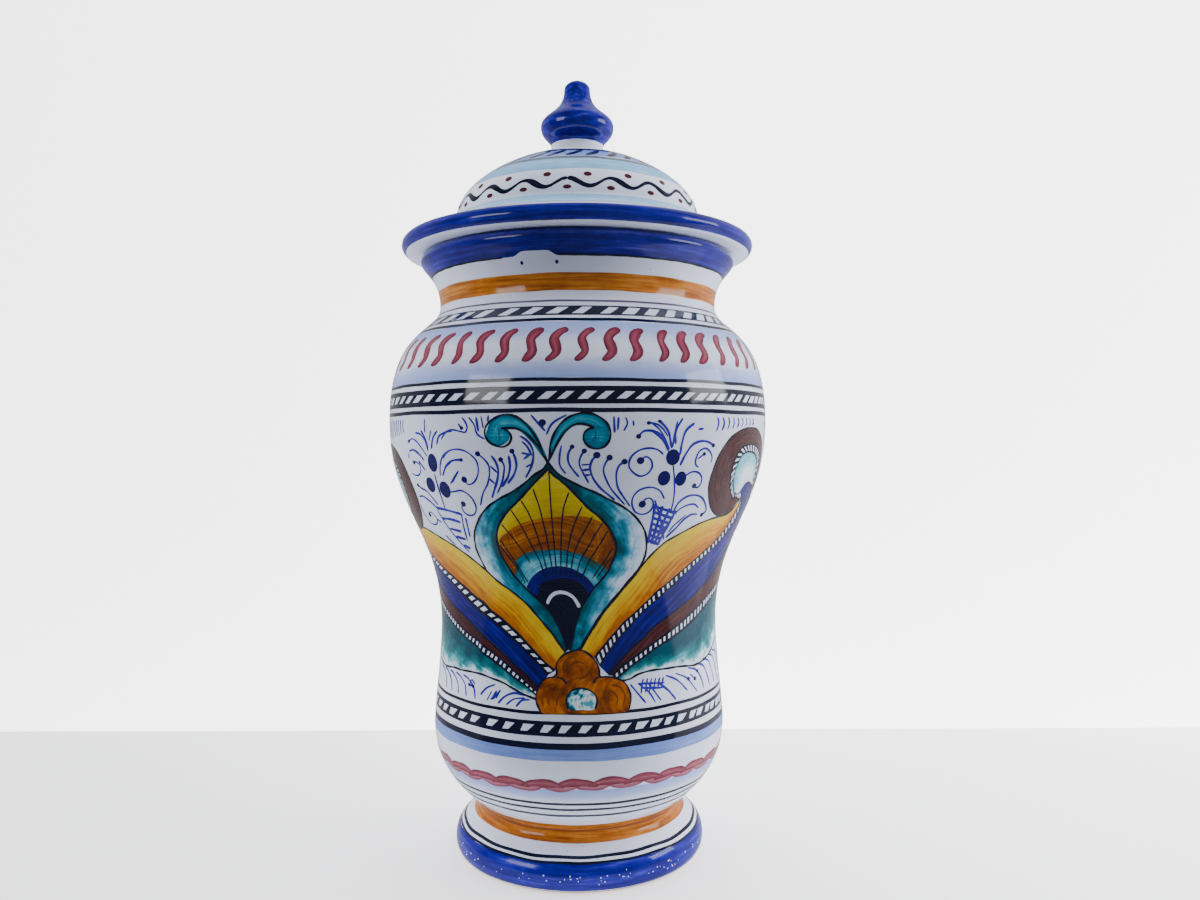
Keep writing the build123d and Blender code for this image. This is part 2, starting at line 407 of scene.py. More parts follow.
def sway(angles, amount):
    """Slow unevenness of a line laid on the wheel, the same at 0 and 360 degrees."""
    total = np.zeros_like(angles)
    for waves in (1, 2, 3, 5, 9, 16):
        total += np.sin(np.radians(waves * angles) + chance.uniform(0, 6.3)) * chance.uniform(0.2, 0.6)
    return amount * total


def up_from(skin, run):
    """Height at a length of slope."""
    return np.interp(run, skin[4], skin[0])


def band(skin, low, high, uneven=0.12, spacing=1.0, bare=None):
    """A band all round between two heights. bare(angles, low) may lift its lower edge."""
    widest = float(radius_at(skin, np.linspace(low, high, 9)).max())
    angles = np.linspace(0, 360, max(180, round(2 * math.pi * widest / 1.3)), endpoint=False)
    drift = sway(angles, uneven)
    lower = low + drift + sway(angles, uneven * 0.25)
    upper = high + drift + sway(angles, uneven * 0.25)
    if bare:
        lower = bare(angles, lower)
    foot, top = (np.interp(edge, skin[0], skin[4])[:, None] for edge in (lower, upper))
    share = np.linspace(0, 1, max(2, round(float((top - foot).max()) / spacing) + 1))
    heights = up_from(skin, foot * (1 - share) + top * share)
    places = np.stack([np.broadcast_to(angles[:, None], heights.shape), heights], -1)
    around = np.radians(places[..., 0])
    brush = np.stack([34 * np.cos(around), heights * 1.0, 2.4 * np.sin(around)], -1)
    return places, brush, np.broadcast_to(share, heights.shape), True


def painted(name, stops, gradient=0.0, streak=1.0, fine=1.4, patchy=0.0, gloss=0.1):
    """Colour brushed on the raw glaze and fired into it. The ramp runs with the gradient across the
    brush mark, moved by streaks along it that are fine per mm, and by slow patches of thick colour."""
    material, tree, shader, place = glazed(name, gloss)
    brush = add(tree, "Attribute", attribute_name="brush").outputs["Vector"]
    shade = add(tree, "Attribute", attribute_name="shade").outputs["Fac"]
    drawn_out = add(tree, "Mapping", {"Vector": brush, "Scale": (0.07 * fine, fine, 1.0)})
    streaks = add(
        tree,
        "TexNoise",
        {"Vector": drawn_out.outputs["Vector"], "Scale": 1.0, "Detail": 3.0, "Roughness": 0.6},
    )
    clouds = add(tree, "TexNoise", {"Vector": place, "Scale": 190.0, "Detail": 3.0, "Roughness": 0.55})
    base = add(tree, "Math", {0: shade, 1: gradient, 2: 0.5 - 0.5 * gradient}, operation="MULTIPLY_ADD")
    centred = add(tree, "Math", {0: streaks.outputs["Fac"], 1: 0.5}, operation="SUBTRACT")
    moved = add(
        tree, "Math", {0: centred.outputs[0], 1: streak, 2: base.outputs[0]}, operation="MULTIPLY_ADD"
    )
    cloudy = add(tree, "Math", {0: clouds.outputs["Fac"], 1: 0.5}, operation="SUBTRACT")
    value = add(
        tree, "Math", {0: cloudy.outputs[0], 1: patchy, 2: moved.outputs[0]}, operation="MULTIPLY_ADD"
    )
    colour = add(tree, "ValToRGB", {"Fac": value.outputs[0]}, stops=stops)
    tree.links.new(colour.outputs["Color"], shader.inputs["Base Color"])
    return material


# Manganese and cobalt mixed to a blue-black, opaque, for banding lines and outlines.
blue_black = painted("blue_black_line_colour", [(0.25, "#05071a"), (0.75, "#0f1636")], streak=1.2)
jar_skin = skin_of(foot_outside + jar_outside)
jar_lines = [
    (200.9, 202.0), (180.1, 181.2), (169.9, 171.3), (66.0, 67.1), (54.5, 56.6),
    (33.3, 34.3), (30.8, 31.7), (27.7, 28.7), (12.1, 12.9), (10.6, 11.3),
]
film("jar_banding_lines", "jar", jar_skin, [band(jar_skin, *line) for line in jar_lines], blue_black, 2)

# Cobalt of the lip and of the foot
# Strong cobalt, laid in broad passes of a wide brush. On the lip it stops short in one place and
# leaves the white bare, with two dots beside it.
cobalt = painted(
    "cobalt_wash",
    [(0.2, "#08025c"), (0.45, "#10087c"), (0.65, "#221c9c"), (0.9, "#4c54c4")],
    streak=1.3,
    fine=0.7,
    patchy=0.3,
)
BARE_FROM, BARE_TO = -21.0, -6.5


def bare_patch(angles, lower):
    """The lip's cobalt stops a little higher over one short stretch."""
    signed = (angles + 180) % 360 - 180
    inside = np.clip((signed - BARE_FROM) / 4, 0, 1) * np.clip((BARE_TO - signed) / 2.5, 0, 1)
    return lower + 1.5 * np.sin(inside * math.pi / 2)


film(
    "jar_cobalt_bands",
    "jar",
    jar_skin,
    [
        band(jar_skin, 224.3, 233.2, spacing=0.45, bare=bare_patch),
        band(jar_skin, 1.4, 10.7, 0.05, 0.45),
    ],
    cobalt,
    1,
)

# Ochre bands of the neck and of the foot's joint
# Iron ochre, thin enough for the white to warm it. The lower band covers the luted joint, with a
# darker band of ochre along the joint's crease.
ochre = painted(
    "iron_ochre_wash",
    [(0.2, "#8a4713"), (0.5, "#b0641a"), (0.8, "#cc8230")],
    streak=1.5,
    fine=1.1,
    patchy=0.4,
)
ochre_crease = painted("ochre_in_the_crease", [(0.2, "#6d3510"), (0.8, "#8f4c17")], streak=1.2)
film(
    "ochre_bands",
    "jar",
    jar_skin,
    [band(jar_skin, 212.6, 218.7), band(jar_skin, 15.7, 22.7, 0.08, 0.6)],
    ochre,
)
film("ochre_crease", "jar", jar_skin, [band(jar_skin, 19.3, 20.3, 0.12, 0.4)], ochre_crease, 1)

# Washes and ropes of the shoulder and of the lower bands
# Thinned cobalt that fades into the white, and ropes: a dark band whose white dashes are scratched
# or left out with the tip of the brush. Each dash is a stroke of its own.
def drawn(skin, points, at=None, spacing=0.8):
    """A smooth line through given places, its length in mm so far, and what else they carry."""
    points = np.array(points, float)
    line = points.copy()
    line[:, 1] = np.interp(points[:, 1], skin[0], skin[4])
    scale = np.radians(radius_at(skin, points[:, 1]))
    gaps = np.hypot(np.diff(line[:, 0]) * (scale[1:] + scale[:-1]) / 2, np.diff(line[:, 1]))
    corners = np.concatenate([[0], np.cumsum(gaps)])
    slopes = np.diff(line, axis=0) / gaps[:, None]
    bends = (slopes[:-1] * gaps[1:, None] + slopes[1:] * gaps[:-1, None]) / (gaps[1:] + gaps[:-1])[:, None]
    bends = np.vstack([slopes[:1], bends, slopes[-1:]])
    if at is None:
        at = np.linspace(0, 1, max(3, round(corners[-1] / spacing) + 1))
    length = np.asarray(at) * corners[-1]
    k = np.clip(np.searchsorted(corners, length, side="right") - 1, 0, len(gaps) - 1)
    gap, u = gaps[k][:, None], ((length - corners[k]) / gaps[k])[:, None]
    smooth = (
        line[k] * (1 + 2 * u) * (1 - u) ** 2
        + line[k + 1] * u**2 * (3 - 2 * u)
        + bends[k] * gap * u * (1 - u) ** 2
        - bends[k + 1] * gap * u**2 * (1 - u)
    )
    return smooth, length


def mark(skin, points, width=1.0, tips=(0.5, 0.5), columns=4, shake=0.1):
    """One brush mark along places (degrees, height) or (degrees, height, width). tips says over how
    many widths each end narrows: 0.5 is round, more is drawn out."""
    points = [(*point, width)[:3] for point in points]
    length = drawn(skin, points)[1][-1]
    reach = [min(tip * points[end][2], 0.48 * length) for tip, end in zip(tips, (0, -1))]
    ease = 1 - np.cos(np.linspace(0, math.pi / 2, 5))
    body = np.linspace(reach[0], length - reach[1], max(2, round((length - sum(reach)) / 0.8) + 1))
    along = np.concatenate([reach[0] * ease[:-1], body, length - reach[1] * ease[-2::-1]])
    line, along = drawn(skin, points, at=along / length)
    pressure = 1 + shake * np.sin(along * chance.uniform(0.5, 0.9) + chance.uniform(0, 6.3))
    for so_far, tip in ((along, reach[0]), (length - along, reach[1])):
        closing = np.clip(1 - so_far / max(tip, 1e-6), 0, 1)
        pressure = pressure * np.maximum(np.sqrt(1 - closing**2), 0.06)
    scale = np.radians(radius_at(skin, up_from(skin, line[:, 1])))
    run = np.stack([np.gradient(line[:, 0]) * scale, np.gradient(line[:, 1])], -1)
    run /= np.linalg.norm(run, axis=1)[:, None] + 1e-12
    across = np.linspace(-0.5, 0.5, columns)[None, :] * (line[:, 2] * pressure)[:, None]
    angle = line[:, :1] - run[:, 1:] * across / scale[:, None]
    height = up_from(skin, line[:, 1:2] + run[:, :1] * across)
    seed = chance.uniform(0, 90)
    brush = np.stack([along[:, None] + 0 * across, across, seed + 0 * across], -1)
    edge = np.abs(across) / (0.5 * line[:, 2:3])
    end = 1 - np.minimum(along, length - along)[:, None] / (1.2 * width)
    return np.stack([angle, height], -1), brush, np.clip(np.maximum(edge, end), 0, 1), False


def field(skin, one_edge, other_edge, shade=None, spacing=1.3):
    """Ground of colour between two drawn edges, the brush running along them. shade is worked out
    from the shares along and across and from the mm across."""
    length = max(drawn(skin, edge)[1][-1] for edge in (one_edge, other_edge))
    rows = np.linspace(0, 1, max(3, round(length / spacing) + 1))
    (one, run), (other, _) = (drawn(skin, edge, at=rows) for edge in (one_edge, other_edge))
    scale = np.radians(radius_at(skin, up_from(skin, one[:, 1])))
    gap = np.hypot((other[:, 0] - one[:, 0]) * scale, other[:, 1] - one[:, 1])
    share = np.linspace(0, 1, max(3, round(gap.max() / spacing) + 1))[None, :]
    angle = one[:, :1] * (1 - share) + other[:, :1] * share
    height = up_from(skin, one[:, 1:2] * (1 - share) + other[:, 1:2] * share)
    across = gap[:, None] * share
    along = rows[:, None] + 0 * share
    brush = np.stack([run[:, None] + 0 * share, across, chance.uniform(0, 90) + 0 * across], -1)
    tone = share + 0 * across if shade is None else shade(along, share + 0 * across, across)
    return np.stack([angle, height], -1), brush, np.clip(tone, 0, 1), False


def dash(skin, foot_left, foot_right, top_left, top_right):
    """A small patch with four corners, a little uneven."""
    left, right = [
        [(angle + chance.uniform(-0.12, 0.12), height + chance.uniform(-0.1, 0.1)) for angle, height in side]
        for side in ((foot_left, top_left), (foot_right, top_right))
    ]
    return field(skin, left, right)


def rope_ring(skin, low, high, count, foot_width, top_width, lean):
    """Dashes all round, whose tops lie further to the right, closer together at the right of each
    front. Widths and lean are in degrees."""
    marks = []
    for i in range(count):
        angle = (i + chance.uniform(-0.09, 0.09)) * 360 / count
        angle += 4.5 * math.sin(math.radians(2 * angle + 50))
        size = chance.uniform(0.8, 1.15)
        foot, top = angle - lean / 2, angle + lean / 2
        marks.append(
            dash(
                skin,
                (foot - foot_width * size / 2, low),
                (foot + foot_width * size / 2, low),
                (top - top_width * size / 2, high),
                (top + top_width * size / 2, high),
            )
        )
    return marks


TIN_WHITE = "#d8dff5"
pale_cobalt = painted(
    "thinned_cobalt_wash",
    [(0.1, "#8ea2e2"), (0.5, "#a4b4e8"), (0.95, TIN_WHITE)],
    gradient=0.8,
    streak=0.35,
    fine=0.8,
    patchy=0.35,
)
periwinkle = painted(
    "periwinkle_wash",
    [(0.2, "#5c78c4"), (0.8, "#7e96d6")],
    streak=1.2,
    fine=0.8,
    patchy=0.4,
)


def washed(skin, strong, faded, uneven=0.15):
    """A wash all round that is strong at one height and has faded out at the other."""
    places, brush, share, closed = band(skin, min(strong, faded), max(strong, faded), uneven)
    return places, brush, share if faded > strong else 1 - share, closed


film(
    "jar_washes",
    "jar",
    jar_skin,
    [
        washed(jar_skin, 200.7, 193.6),
        washed(jar_skin, 181.2, 188.4),
        washed(jar_skin, 39.9, 34.8),
    ],
    pale_cobalt,
)
film("periwinkle_band", "jar", jar_skin, [band(jar_skin, 50.3, 54.9)], periwinkle)

rope_grounds = [
    band(jar_skin, 203.2, 207.0, 0.06),
    band(jar_skin, 172.7, 178.5, 0.08),
    band(jar_skin, 58.8, 63.9, 0.1),
]
film("rope_grounds", "jar", jar_skin, rope_grounds, blue_black, 1)
rope_marks = [
    *rope_ring(jar_skin, 203.8, 206.4, 47, 3.9, 3.9, 3.4),
    *rope_ring(jar_skin, 174.3, 176.8, 80, 2.5, 2.6, 2.4),
    *rope_ring(jar_skin, 60.1, 62.5, 57, 2.9, 4.3, 1.9),
]
film("rope_dashes", "jar", jar_skin, rope_marks, tin_glaze, 2)
neck_line = painted("thin_manganese_line", [(0.2, "#403650"), (0.8, "#6e6480")], streak=1.4)
lip_edge = [(BARE_TO + 0.5 + 12.16 * i, 224.4 + chance.uniform(-0.1, 0.1)) for i in range(29)]
film("lip_lower_edge", "jar", jar_skin, [mark(jar_skin, lip_edge, 0.8, tips=(3, 3))], blue_black, 2)
film("neck_line", "jar", jar_skin, [band(jar_skin, 208.7, 209.4, 0.12)], neck_line, 1)

# Curved strokes of the shoulder and the braid
# Manganese purple with a full round brush. Each stroke is pressed in the middle and lifted at its
# end, where the colour pools darker. The braid is two rows of such strokes that overlap.
manganese = painted(
    "manganese_purple",
    [(0.1, "#a05868"), (0.45, "#86384c"), (0.75, "#68243a"), (1.0, "#461022")],
    gradient=0.55,
    streak=0.9,
    fine=1.6,
    patchy=0.25,
)
manganese_thin = painted(
    "manganese_purple_thinned",
    [(0.1, "#b07484"), (0.5, "#944e62"), (0.9, "#702c42")],
    gradient=0.55,
    streak=0.8,
    fine=1.6,
)


def drop(skin, centre, across, tall):
    """A round drop of colour."""
    size = np.linspace(-1, 1, 9)
    u, v = np.meshgrid(size, size, indexing="ij")
    x, y = u * np.sqrt(1 - v**2 / 2), v * np.sqrt(1 - u**2 / 2)
    angle = centre[0] + x * across / 2
    height = centre[1] + y * tall / 2
    seed = chance.uniform(0, 90)
    brush = np.stack([x * tall / 2, y * tall / 2, seed + 0 * x], -1)
    return np.stack([angle, height], -1), brush, np.hypot(x, y) * 0.8, False


SHOULDER_STROKES = 49
shoulder_marks = []
for i in range(SHOULDER_STROKES):
    at = 3.1 + (i + chance.uniform(-0.07, 0.07)) * 360 / SHOULDER_STROKES
    lean = chance.uniform(0.75, 1.2)
    fat = chance.uniform(2.9, 3.6)
    shoulder_marks.append(
        mark(
            jar_skin,
            [
                (at + 2.9 * lean, 198.0, fat * 0.62),
                (at + 0.7 * lean, 196.8, fat * 0.95),
                (at - 0.7 * lean, 194.4, fat),
                (at - 0.2, 192.0, fat),
                (at + 0.1, 190.2, fat * 0.95),
                (at - 1.1 * lean, 188.2, fat * 0.8),
                (at - 2.7 * lean, 187.0, fat * 0.5),
            ],
            fat,
            tips=(0.5, 1.0),
            columns=6,
        )
    )
film("shoulder_strokes", "jar", jar_skin, shoulder_marks, manganese, 1)

BRAID_TURNS = 29
# Each stroke's places: share of a turn, mm above the braid's middle, and width.
UPPER_STROKE = [(-0.64, -0.9, 1.0), (-0.34, 0.5, 2.6), (0, 0.9, 3.1), (0.34, 0.6, 2.6), (0.64, -0.5, 1.0)]
LOWER_STROKE = [(-0.64, 0.3, 1.0), (-0.3, -0.8, 2.5), (0.05, -1.2, 2.9), (0.36, -0.8, 2.3), (0.64, 0.2, 1.0)]
braid = {"upper": [], "lower": []}
for i in range(BRAID_TURNS):
    for row, stroke, start in (("upper", UPPER_STROKE, 0.0), ("lower", LOWER_STROKE, 0.5)):
        step = 360 / BRAID_TURNS
        at = (i + start) * step + chance.uniform(-0.6, 0.6)
        middle = 41.7 + 0.5 * math.sin(math.radians(2 * at)) + 0.3 * math.sin(math.radians(5 * at + 40))
        places = [(at + share * step, middle + rise, width) for share, rise, width in stroke]
        braid[row].append(mark(jar_skin, places, 2.8, tips=(1.2, 1.2), columns=7))
film("braid_lower", "jar", jar_skin, braid["lower"], manganese_thin, 1)
film("braid_upper", "jar", jar_skin, braid["upper"], manganese, 2)

# The feather
# The middle of the painted front: a peacock feather whose eye is built of arcs of black, cobalt,
# turquoise, ochre and yellow. The whole front is painted again on the back of the jar.
FEATHER_TIP = (-6.6, 153.6)
feather_left = [
    FEATHER_TIP, (-8, 151.3), (-10, 149.8), (-14, 145.9), (-18, 143.1), (-21.5, 141.1), (-25, 138.7),
    (-28, 135.9), (-30.5, 132.8), (-32.5, 129.8), (-33.8, 126.4), (-34.3, 123.1), (-33.6, 119.2),
    (-32.4, 115.6),
]
feather_right = [
    FEATHER_TIP, (-4.75, 150.6), (-2, 148.1), (2, 145.6), (6, 143.4), (10, 140.9), (14, 138.4),
    (17, 135.9), (19.5, 133.1), (21.8, 129.5), (23.1, 125.3), (23.4, 121.6), (22.7, 118.2),
    (20.4, 114.4), (18, 111.4), (15, 107.6), (12, 104), (9, 100.2), (6, 95.7), (3.5, 91.9),
    (1.6, 88.8), (0, 88.0),
]
FAN_TIP = (-6.6, 151.5)
fan_left = [
    FAN_TIP, (-8, 149.8), (-10.75, 146.4), (-13.5, 143.1), (-16.5, 139.8), (-19.5, 136.7), (-22, 133.7),
    (-24, 130.3), (-24.9, 127.3), (-25.1, 124.2), (-24.5, 120.9), (-23, 117.3), (-21.5, 114.3),
    (-18.75, 111.1), (-16, 108.2), (-13, 105.7), (-10.25, 102.9), (-8, 100), (-6, 96.4), (-4.5, 92.9),
    (-3, 88.0),
]
fan_right = [
    FAN_TIP, (-5.5, 149.8), (-3.5, 147.6), (-1, 144.8), (1.5, 141.4), (4.5, 137.8), (7.5, 134.8),
    (10, 131.7), (12, 128.1), (13.1, 124.8), (13, 121.7), (12, 118.7), (11, 115.7), (9, 112.9),
    (6.5, 110), (4, 106.4), (1.75, 102.1), (0.25, 97.9), (-0.75, 93.6), (-2, 88.0),
]
left_leaf_top = [
    (-3.75, 87.3), (-7, 91.8), (-10.5, 96.1), (-14, 100), (-18, 104.3), (-23, 108.2), (-28, 111.4),
    (-33, 115.7), (-36.3, 118.2), (-40, 120.7), (-44.6, 123.2), (-50, 125.4), (-55, 127.1), (-60, 128.4),
    (-65, 128.8), (-70, 128.9), (-73.2, 129.4), (-75.2, 130.9), (-76.5, 133.1), (-77, 134.9),
]
core_arc = [
    (-14, 106.6), (-13, 107.9), (-12.5, 110.4), (-10, 112.5), (-6, 113.6), (-2, 113.6), (1.5, 112.1),
    (3.5, 110), (4.6, 107.3),
]
cobalt_arc = [
    (-17.25, 110), (-15.5, 112.9), (-13, 115.4), (-10, 117.1), (-6, 117.9), (-2, 117.5), (1, 116.1),
    (4, 113.9), (6.8, 110.4),
]
turquoise_arc = [
    (-20.9, 113.4), (-20.1, 117.9), (-19.2, 120.4), (-17, 121.8), (-14, 123), (-10, 123.6), (-6, 123.7),
    (-2, 123.2), (2, 122.1), (5.5, 120.4), (8.5, 118.4), (10.9, 116),
]
ochre_arc = [
    (-24.9, 125.6), (-23.5, 127.6), (-21, 129.5), (-18, 131.7), (-14.5, 133.4), (-10.5, 134.5),
    (-6, 135.3), (-1, 135.6), (3, 135.3), (6.5, 134), (8.5, 132.9), (10.6, 130.8),
]

teal_wash = painted(
    "copper_teal_wash",
    [
        (0.0, "#04404c"), (0.2, "#085e74"), (0.42, "#2c8cac"), (0.6, "#84bcd8"), (0.76, "#c4d8ee"),
        (0.92, TIN_WHITE),
    ],
    gradient=0.85,
    streak=0.5,
    fine=0.8,
    patchy=1.0,
)
feather_yellow = painted(
    "antimony_yellow",
    [(0.1, "#a07a0c"), (0.3, "#bba014"), (0.6, "#ccb61e"), (0.95, "#d8cc40")],
    gradient=0.6,
    streak=0.7,
    patchy=0.3,
)
feather_ochre = painted(
    "burnt_ochre",
    [(0.1, "#482004"), (0.4, "#743808"), (0.7, "#9c5810"), (0.95, "#b87a1c")],
    gradient=0.35,
    streak=1.3,
    fine=0.9,
    patchy=0.4,
)
turquoise = painted(
    "copper_turquoise",
    [(0.12, "#8ccce0"), (0.35, "#58acc4"), (0.6, "#207c98"), (0.8, "#105c74"), (0.95, "#2c4634")],
    gradient=0.6,
    streak=1.0,
    fine=0.9,
    patchy=0.9,
)
deep_cobalt = painted(
    "deep_cobalt",
    [(0.2, "#060044"), (0.55, "#0c036c"), (0.9, "#261e9c")],
    streak=1.3,
    fine=0.9,
    patchy=0.4,
)
turns = (0.0, 180.0)    # the painted front and its copy on the back


def front_and_back(patches):
    """The same marks on the front and on the back."""
    return [
        (places + (turn, 0), brush, shade, closed)
        for turn in turns
        for places, brush, shade, closed in patches
    ]


def both_sides(name, patches, material, layer=0):
    """A film of the same marks on the painted front and on the back of the jar."""
    film(name, "jar", jar_skin, front_and_back(patches), material, layer)


def line_marks(lines, width, shake=0.2, tips=(0.5, 0.5)):
    """Thin lines of one width along given places."""
    return [mark(jar_skin, line, width, tips=tips, columns=3, shake=shake) for line in lines]


def from_the_eye(along, share, across):
    """Teal beside the eye, gone to white 12 mm out, and all teal where the strip is narrow."""
    narrow = np.clip(1.5 - across.max(axis=1, keepdims=True) / 7, 0, 1)
    return across / 11.5 * (1 - 0.7 * narrow)


left_strip = feather_left[:-1] + left_leaf_top[7::-1]
both_sides(
    "feather_surround",
    [
        field(jar_skin, fan_left, left_strip, from_the_eye),
        field(jar_skin, fan_right, feather_right, from_the_eye),
    ],
    teal_wash,
)
below_ochre = [(-19.6, 112), (-15.5, 112.9), (-10, 116), (-6, 117), (-2, 116.5), (4, 113), (8.6, 112.4)]
upper_fan = [
    ochre_arc[0], (-24.6, 128.6), (-22, 133.7), (-19.5, 136.7), (-16.5, 139.8), (-13.5, 143.1),
    (-10.75, 146.4), (-8, 149.8), (-6.7, 151.3), (-5.5, 149.8), (-3.5, 147.6), (-1, 144.8), (1.5, 141.4),
    (4.5, 137.8), (7.5, 134.8), ochre_arc[-1],
]
both_sides(
    "feather_ochre",
    [
        field(jar_skin, below_ochre, ochre_arc),
        field(
            jar_skin,
            [below_ochre[0], (-23, 117.3), (-25, 123), ochre_arc[0]],
            [(-14, 113.5), (-15, 119), (-17, 124), (-18, 131)],
        ),
        field(
            jar_skin,
            [below_ochre[-1], (12, 118.7), (13.1, 124.8), (12, 128.1), ochre_arc[-1]],
            [(4, 113.5), (5, 119), (6, 124), (6, 133)],
        ),
    ],
    feather_ochre,
    1,
)
both_sides("feather_yellow", [field(jar_skin, ochre_arc, upper_fan)], feather_yellow, 1)
both_sides("feather_turquoise", [field(jar_skin, cobalt_arc, turquoise_arc)], turquoise, 2)
both_sides("feather_cobalt", [field(jar_skin, core_arc, cobalt_arc)], deep_cobalt, 2)
core_left = [(-14, 106.6), (-10.25, 102.9), (-8, 100), (-6, 96.4), (-4.5, 92.9), (-3, 88.2)]
core_right = [(4.6, 107.3), (1.75, 102.1), (0.25, 97.9), (-0.75, 93.6), (-2, 88.2)]
both_sides(
    "feather_core",
    [
        field(jar_skin, core_left, core_right),
        field(jar_skin, [core_left[0], (-5, 106.9), core_right[0]], core_arc),
    ],
    blue_black,
    2,
)
white_arc = [
    (-10, 104.3), (-9.25, 106.1), (-7.5, 107.9), (-5.25, 108.6), (-3, 108.2), (-0.75, 106.8),
    (0.75, 104.6), (1.5, 103.2),
]
both_sides("feather_white_arc", [mark(jar_skin, white_arc, 1.2)], tin_glaze, 3)
BARB_WIDTH = 0.45
barbs = [
    [(-20.5, 117.9), (-24.6, 125)],
    [(-17.5, 111.4), (-19.5, 116.5), (-23, 122)],
    [(-16.5, 111.8), (-21, 121), (-24, 127)],
    [(-22.2, 132.5), (-19.5, 128), (-17, 123.5), (-14.8, 119)],
    [(-18.3, 137.6), (-16.5, 133.7), (-14.5, 128.1), (-13, 123.7), (-11.5, 119.6), (-10.2, 113.4)],
    [(-14.8, 140.9), (-13, 136.4), (-11.5, 129.8), (-10.5, 124.2), (-9.2, 114.2)],
    [(-11, 144.8), (-9.8, 139.2), (-9, 133.1), (-8.4, 127.6), (-8, 122), (-7.2, 114.4)],
    [(-6.4, 151), (-6.4, 136), (-6.2, 114.4)],
    [(-1.3, 143.7), (-2.8, 138.7), (-3.5, 133.7), (-4, 127.6), (-4.4, 122), (-4.7, 114.6)],
    [(2.3, 138.9), (0.5, 134.2), (-0.8, 129.8), (-2, 124.2), (-3, 114.4)],
    [(5.3, 135.6), (3.5, 131.4), (1.5, 127), (0, 123.1), (-1.6, 114)],
    [(8.3, 133.1), (6.3, 129.2), (4.3, 124.8), (2, 120.3), (0.2, 113.6)],
    [(10, 130.6), (8.5, 127), (6.5, 123.1), (4.5, 119.3), (2, 112.6)],
    [(12, 124.2), (10, 120.3), (8.5, 117.9), (5.8, 113.3)],
    [(12, 121.4), (10, 117.9), (7.5, 113.8)],
]
both_sides("feather_barbs", line_marks(barbs, BARB_WIDTH, 0.1, (2, 2)), blue_black, 3)
OUTLINE_WIDTH = 0.75
feather_outlines = [feather_left, feather_right, fan_left, fan_right]
both_sides("feather_outlines", line_marks(feather_outlines, OUTLINE_WIDTH), blue_black, 3)

# The two curls above the feather
# Copper teal, laid as one full stroke that grows as it winds in, with a lighter core where the
# brush was nearly dry, and a dark outline.
left_curl = [
    (-6.8, 154.2, 0.8), (-8.3, 157.6, 1.9), (-10.2, 161.8, 3.0), (-13, 165.4, 3.8), (-17, 166.9, 4.6),
    (-20.4, 165.3, 5.0), (-20.6, 162.2, 5.0), (-18.9, 161.3, 4.6),
]
left_curl_line = [
    FEATHER_TIP, (-7.8, 156.4), (-8.5, 159.2), (-10, 162.6), (-11.5, 165.3), (-13.5, 167.8),
    (-16, 169.2), (-18.5, 169.2), (-21, 167.8), (-23, 165.6), (-23.5, 163.1), (-22.5, 160.6),
    (-20.5, 159.1), (-18, 158.8), (-16.5, 160.1), (-16, 162), (-16.75, 163.7), (-18, 164.5),
]
left_curl_inner = [
    (-18.75, 164.8), (-16.5, 164.9), (-14, 164.5), (-12, 163.1), (-10.25, 160.9), (-8.5, 158.1),
    (-7.4, 155.3), FEATHER_TIP,
]
right_curl_line = [
    FEATHER_TIP, (-6, 155.3), (-6, 158.1), (-5.5, 160.9), (-4.5, 163.7), (-3, 166.4), (-1, 168.4),
    (1.5, 169.5), (4.5, 169.5), (7, 168.1), (8.75, 165.9), (9.5, 163.1), (9, 160.3), (7.5, 158.4),
    (5.25, 158.1), (3.5, 159.2), (2.6, 161.2), (2.75, 163.1), (4, 164.5), (5.25, 164.8),
]
right_curl_inner = [
    (5.25, 164.9), (3, 166), (0.5, 165.9), (-1.5, 164.2), (-3.25, 161.4), (-4.5, 158.7), (-5.5, 155.9),
    FEATHER_TIP,
]
right_curl = [
    (-6.2, 154.4, 0.8), (-5.4, 158.2, 1.9), (-4.1, 162, 2.8), (-1.8, 165.9, 3.4), (2.2, 167.7, 3.8),
    (6, 166.4, 4.8), (7.2, 163.2, 5.0), (6, 160.8, 5.0), (5, 161.6, 4.4),
]
curl_teal = painted(
    "copper_teal_stroke",
    [(0.1, "#58b8cc"), (0.35, "#168aa8"), (0.6, "#086a8a"), (0.95, "#044662")],
    gradient=0.55,
    streak=0.9,
    patchy=0.4,
)
both_sides(
    "curls",
    [mark(jar_skin, line, 4.6, tips=(1, 0.5), columns=8, shake=0.03) for line in (left_curl, right_curl)]
    + [drop(jar_skin, (-19.75, 162.6), 6.7, 7.2), drop(jar_skin, (6.0, 161.9), 6.6, 7.2)],
    curl_teal,
    1,
)
curl_lines = [left_curl_line, left_curl_inner, right_curl_line, right_curl_inner]
both_sides("curl_outlines", line_marks(curl_lines, 0.7, 0.25), blue_black, 3)

# The scroll leaves
# Two long leaves spring from the rosette and curl over at the shoulder. Each is four colours side
# by side, yellow shading to orange, cobalt, manganese brown and teal, parted by two small ropes.
right_leaf_top = [
    (1.8, 88.4), (3.5, 91.2), (6, 95), (9, 99.6), (12, 103.4), (15, 107), (18.5, 111.2), (20.5, 113.8),
    (23, 117.5), (25, 120.4), (27.5, 123.2), (30, 125.6), (33.5, 127.5), (37, 129.3), (41, 131.1),
    (45, 132.3), (48.5, 133), (52, 133.4), (55, 133.7), (57.5, 134.6), (59.5, 136.4), (60.8, 138.6),
    (61.3, 140.4),
]
right_leaf_low = [
    (7, 85.4), (8.5, 87.4), (11, 90.1), (14, 93.3), (17, 96.4), (20, 98.9), (23, 101.1), (26, 103.6),
    (30, 107.1), (35, 110.4), (40, 113.9), (45, 117.3), (50, 120.6), (55, 123.9), (58, 126.8),
    (60.5, 130.4), (62, 133.6), (62.5, 136.4), (62, 139.6),
]
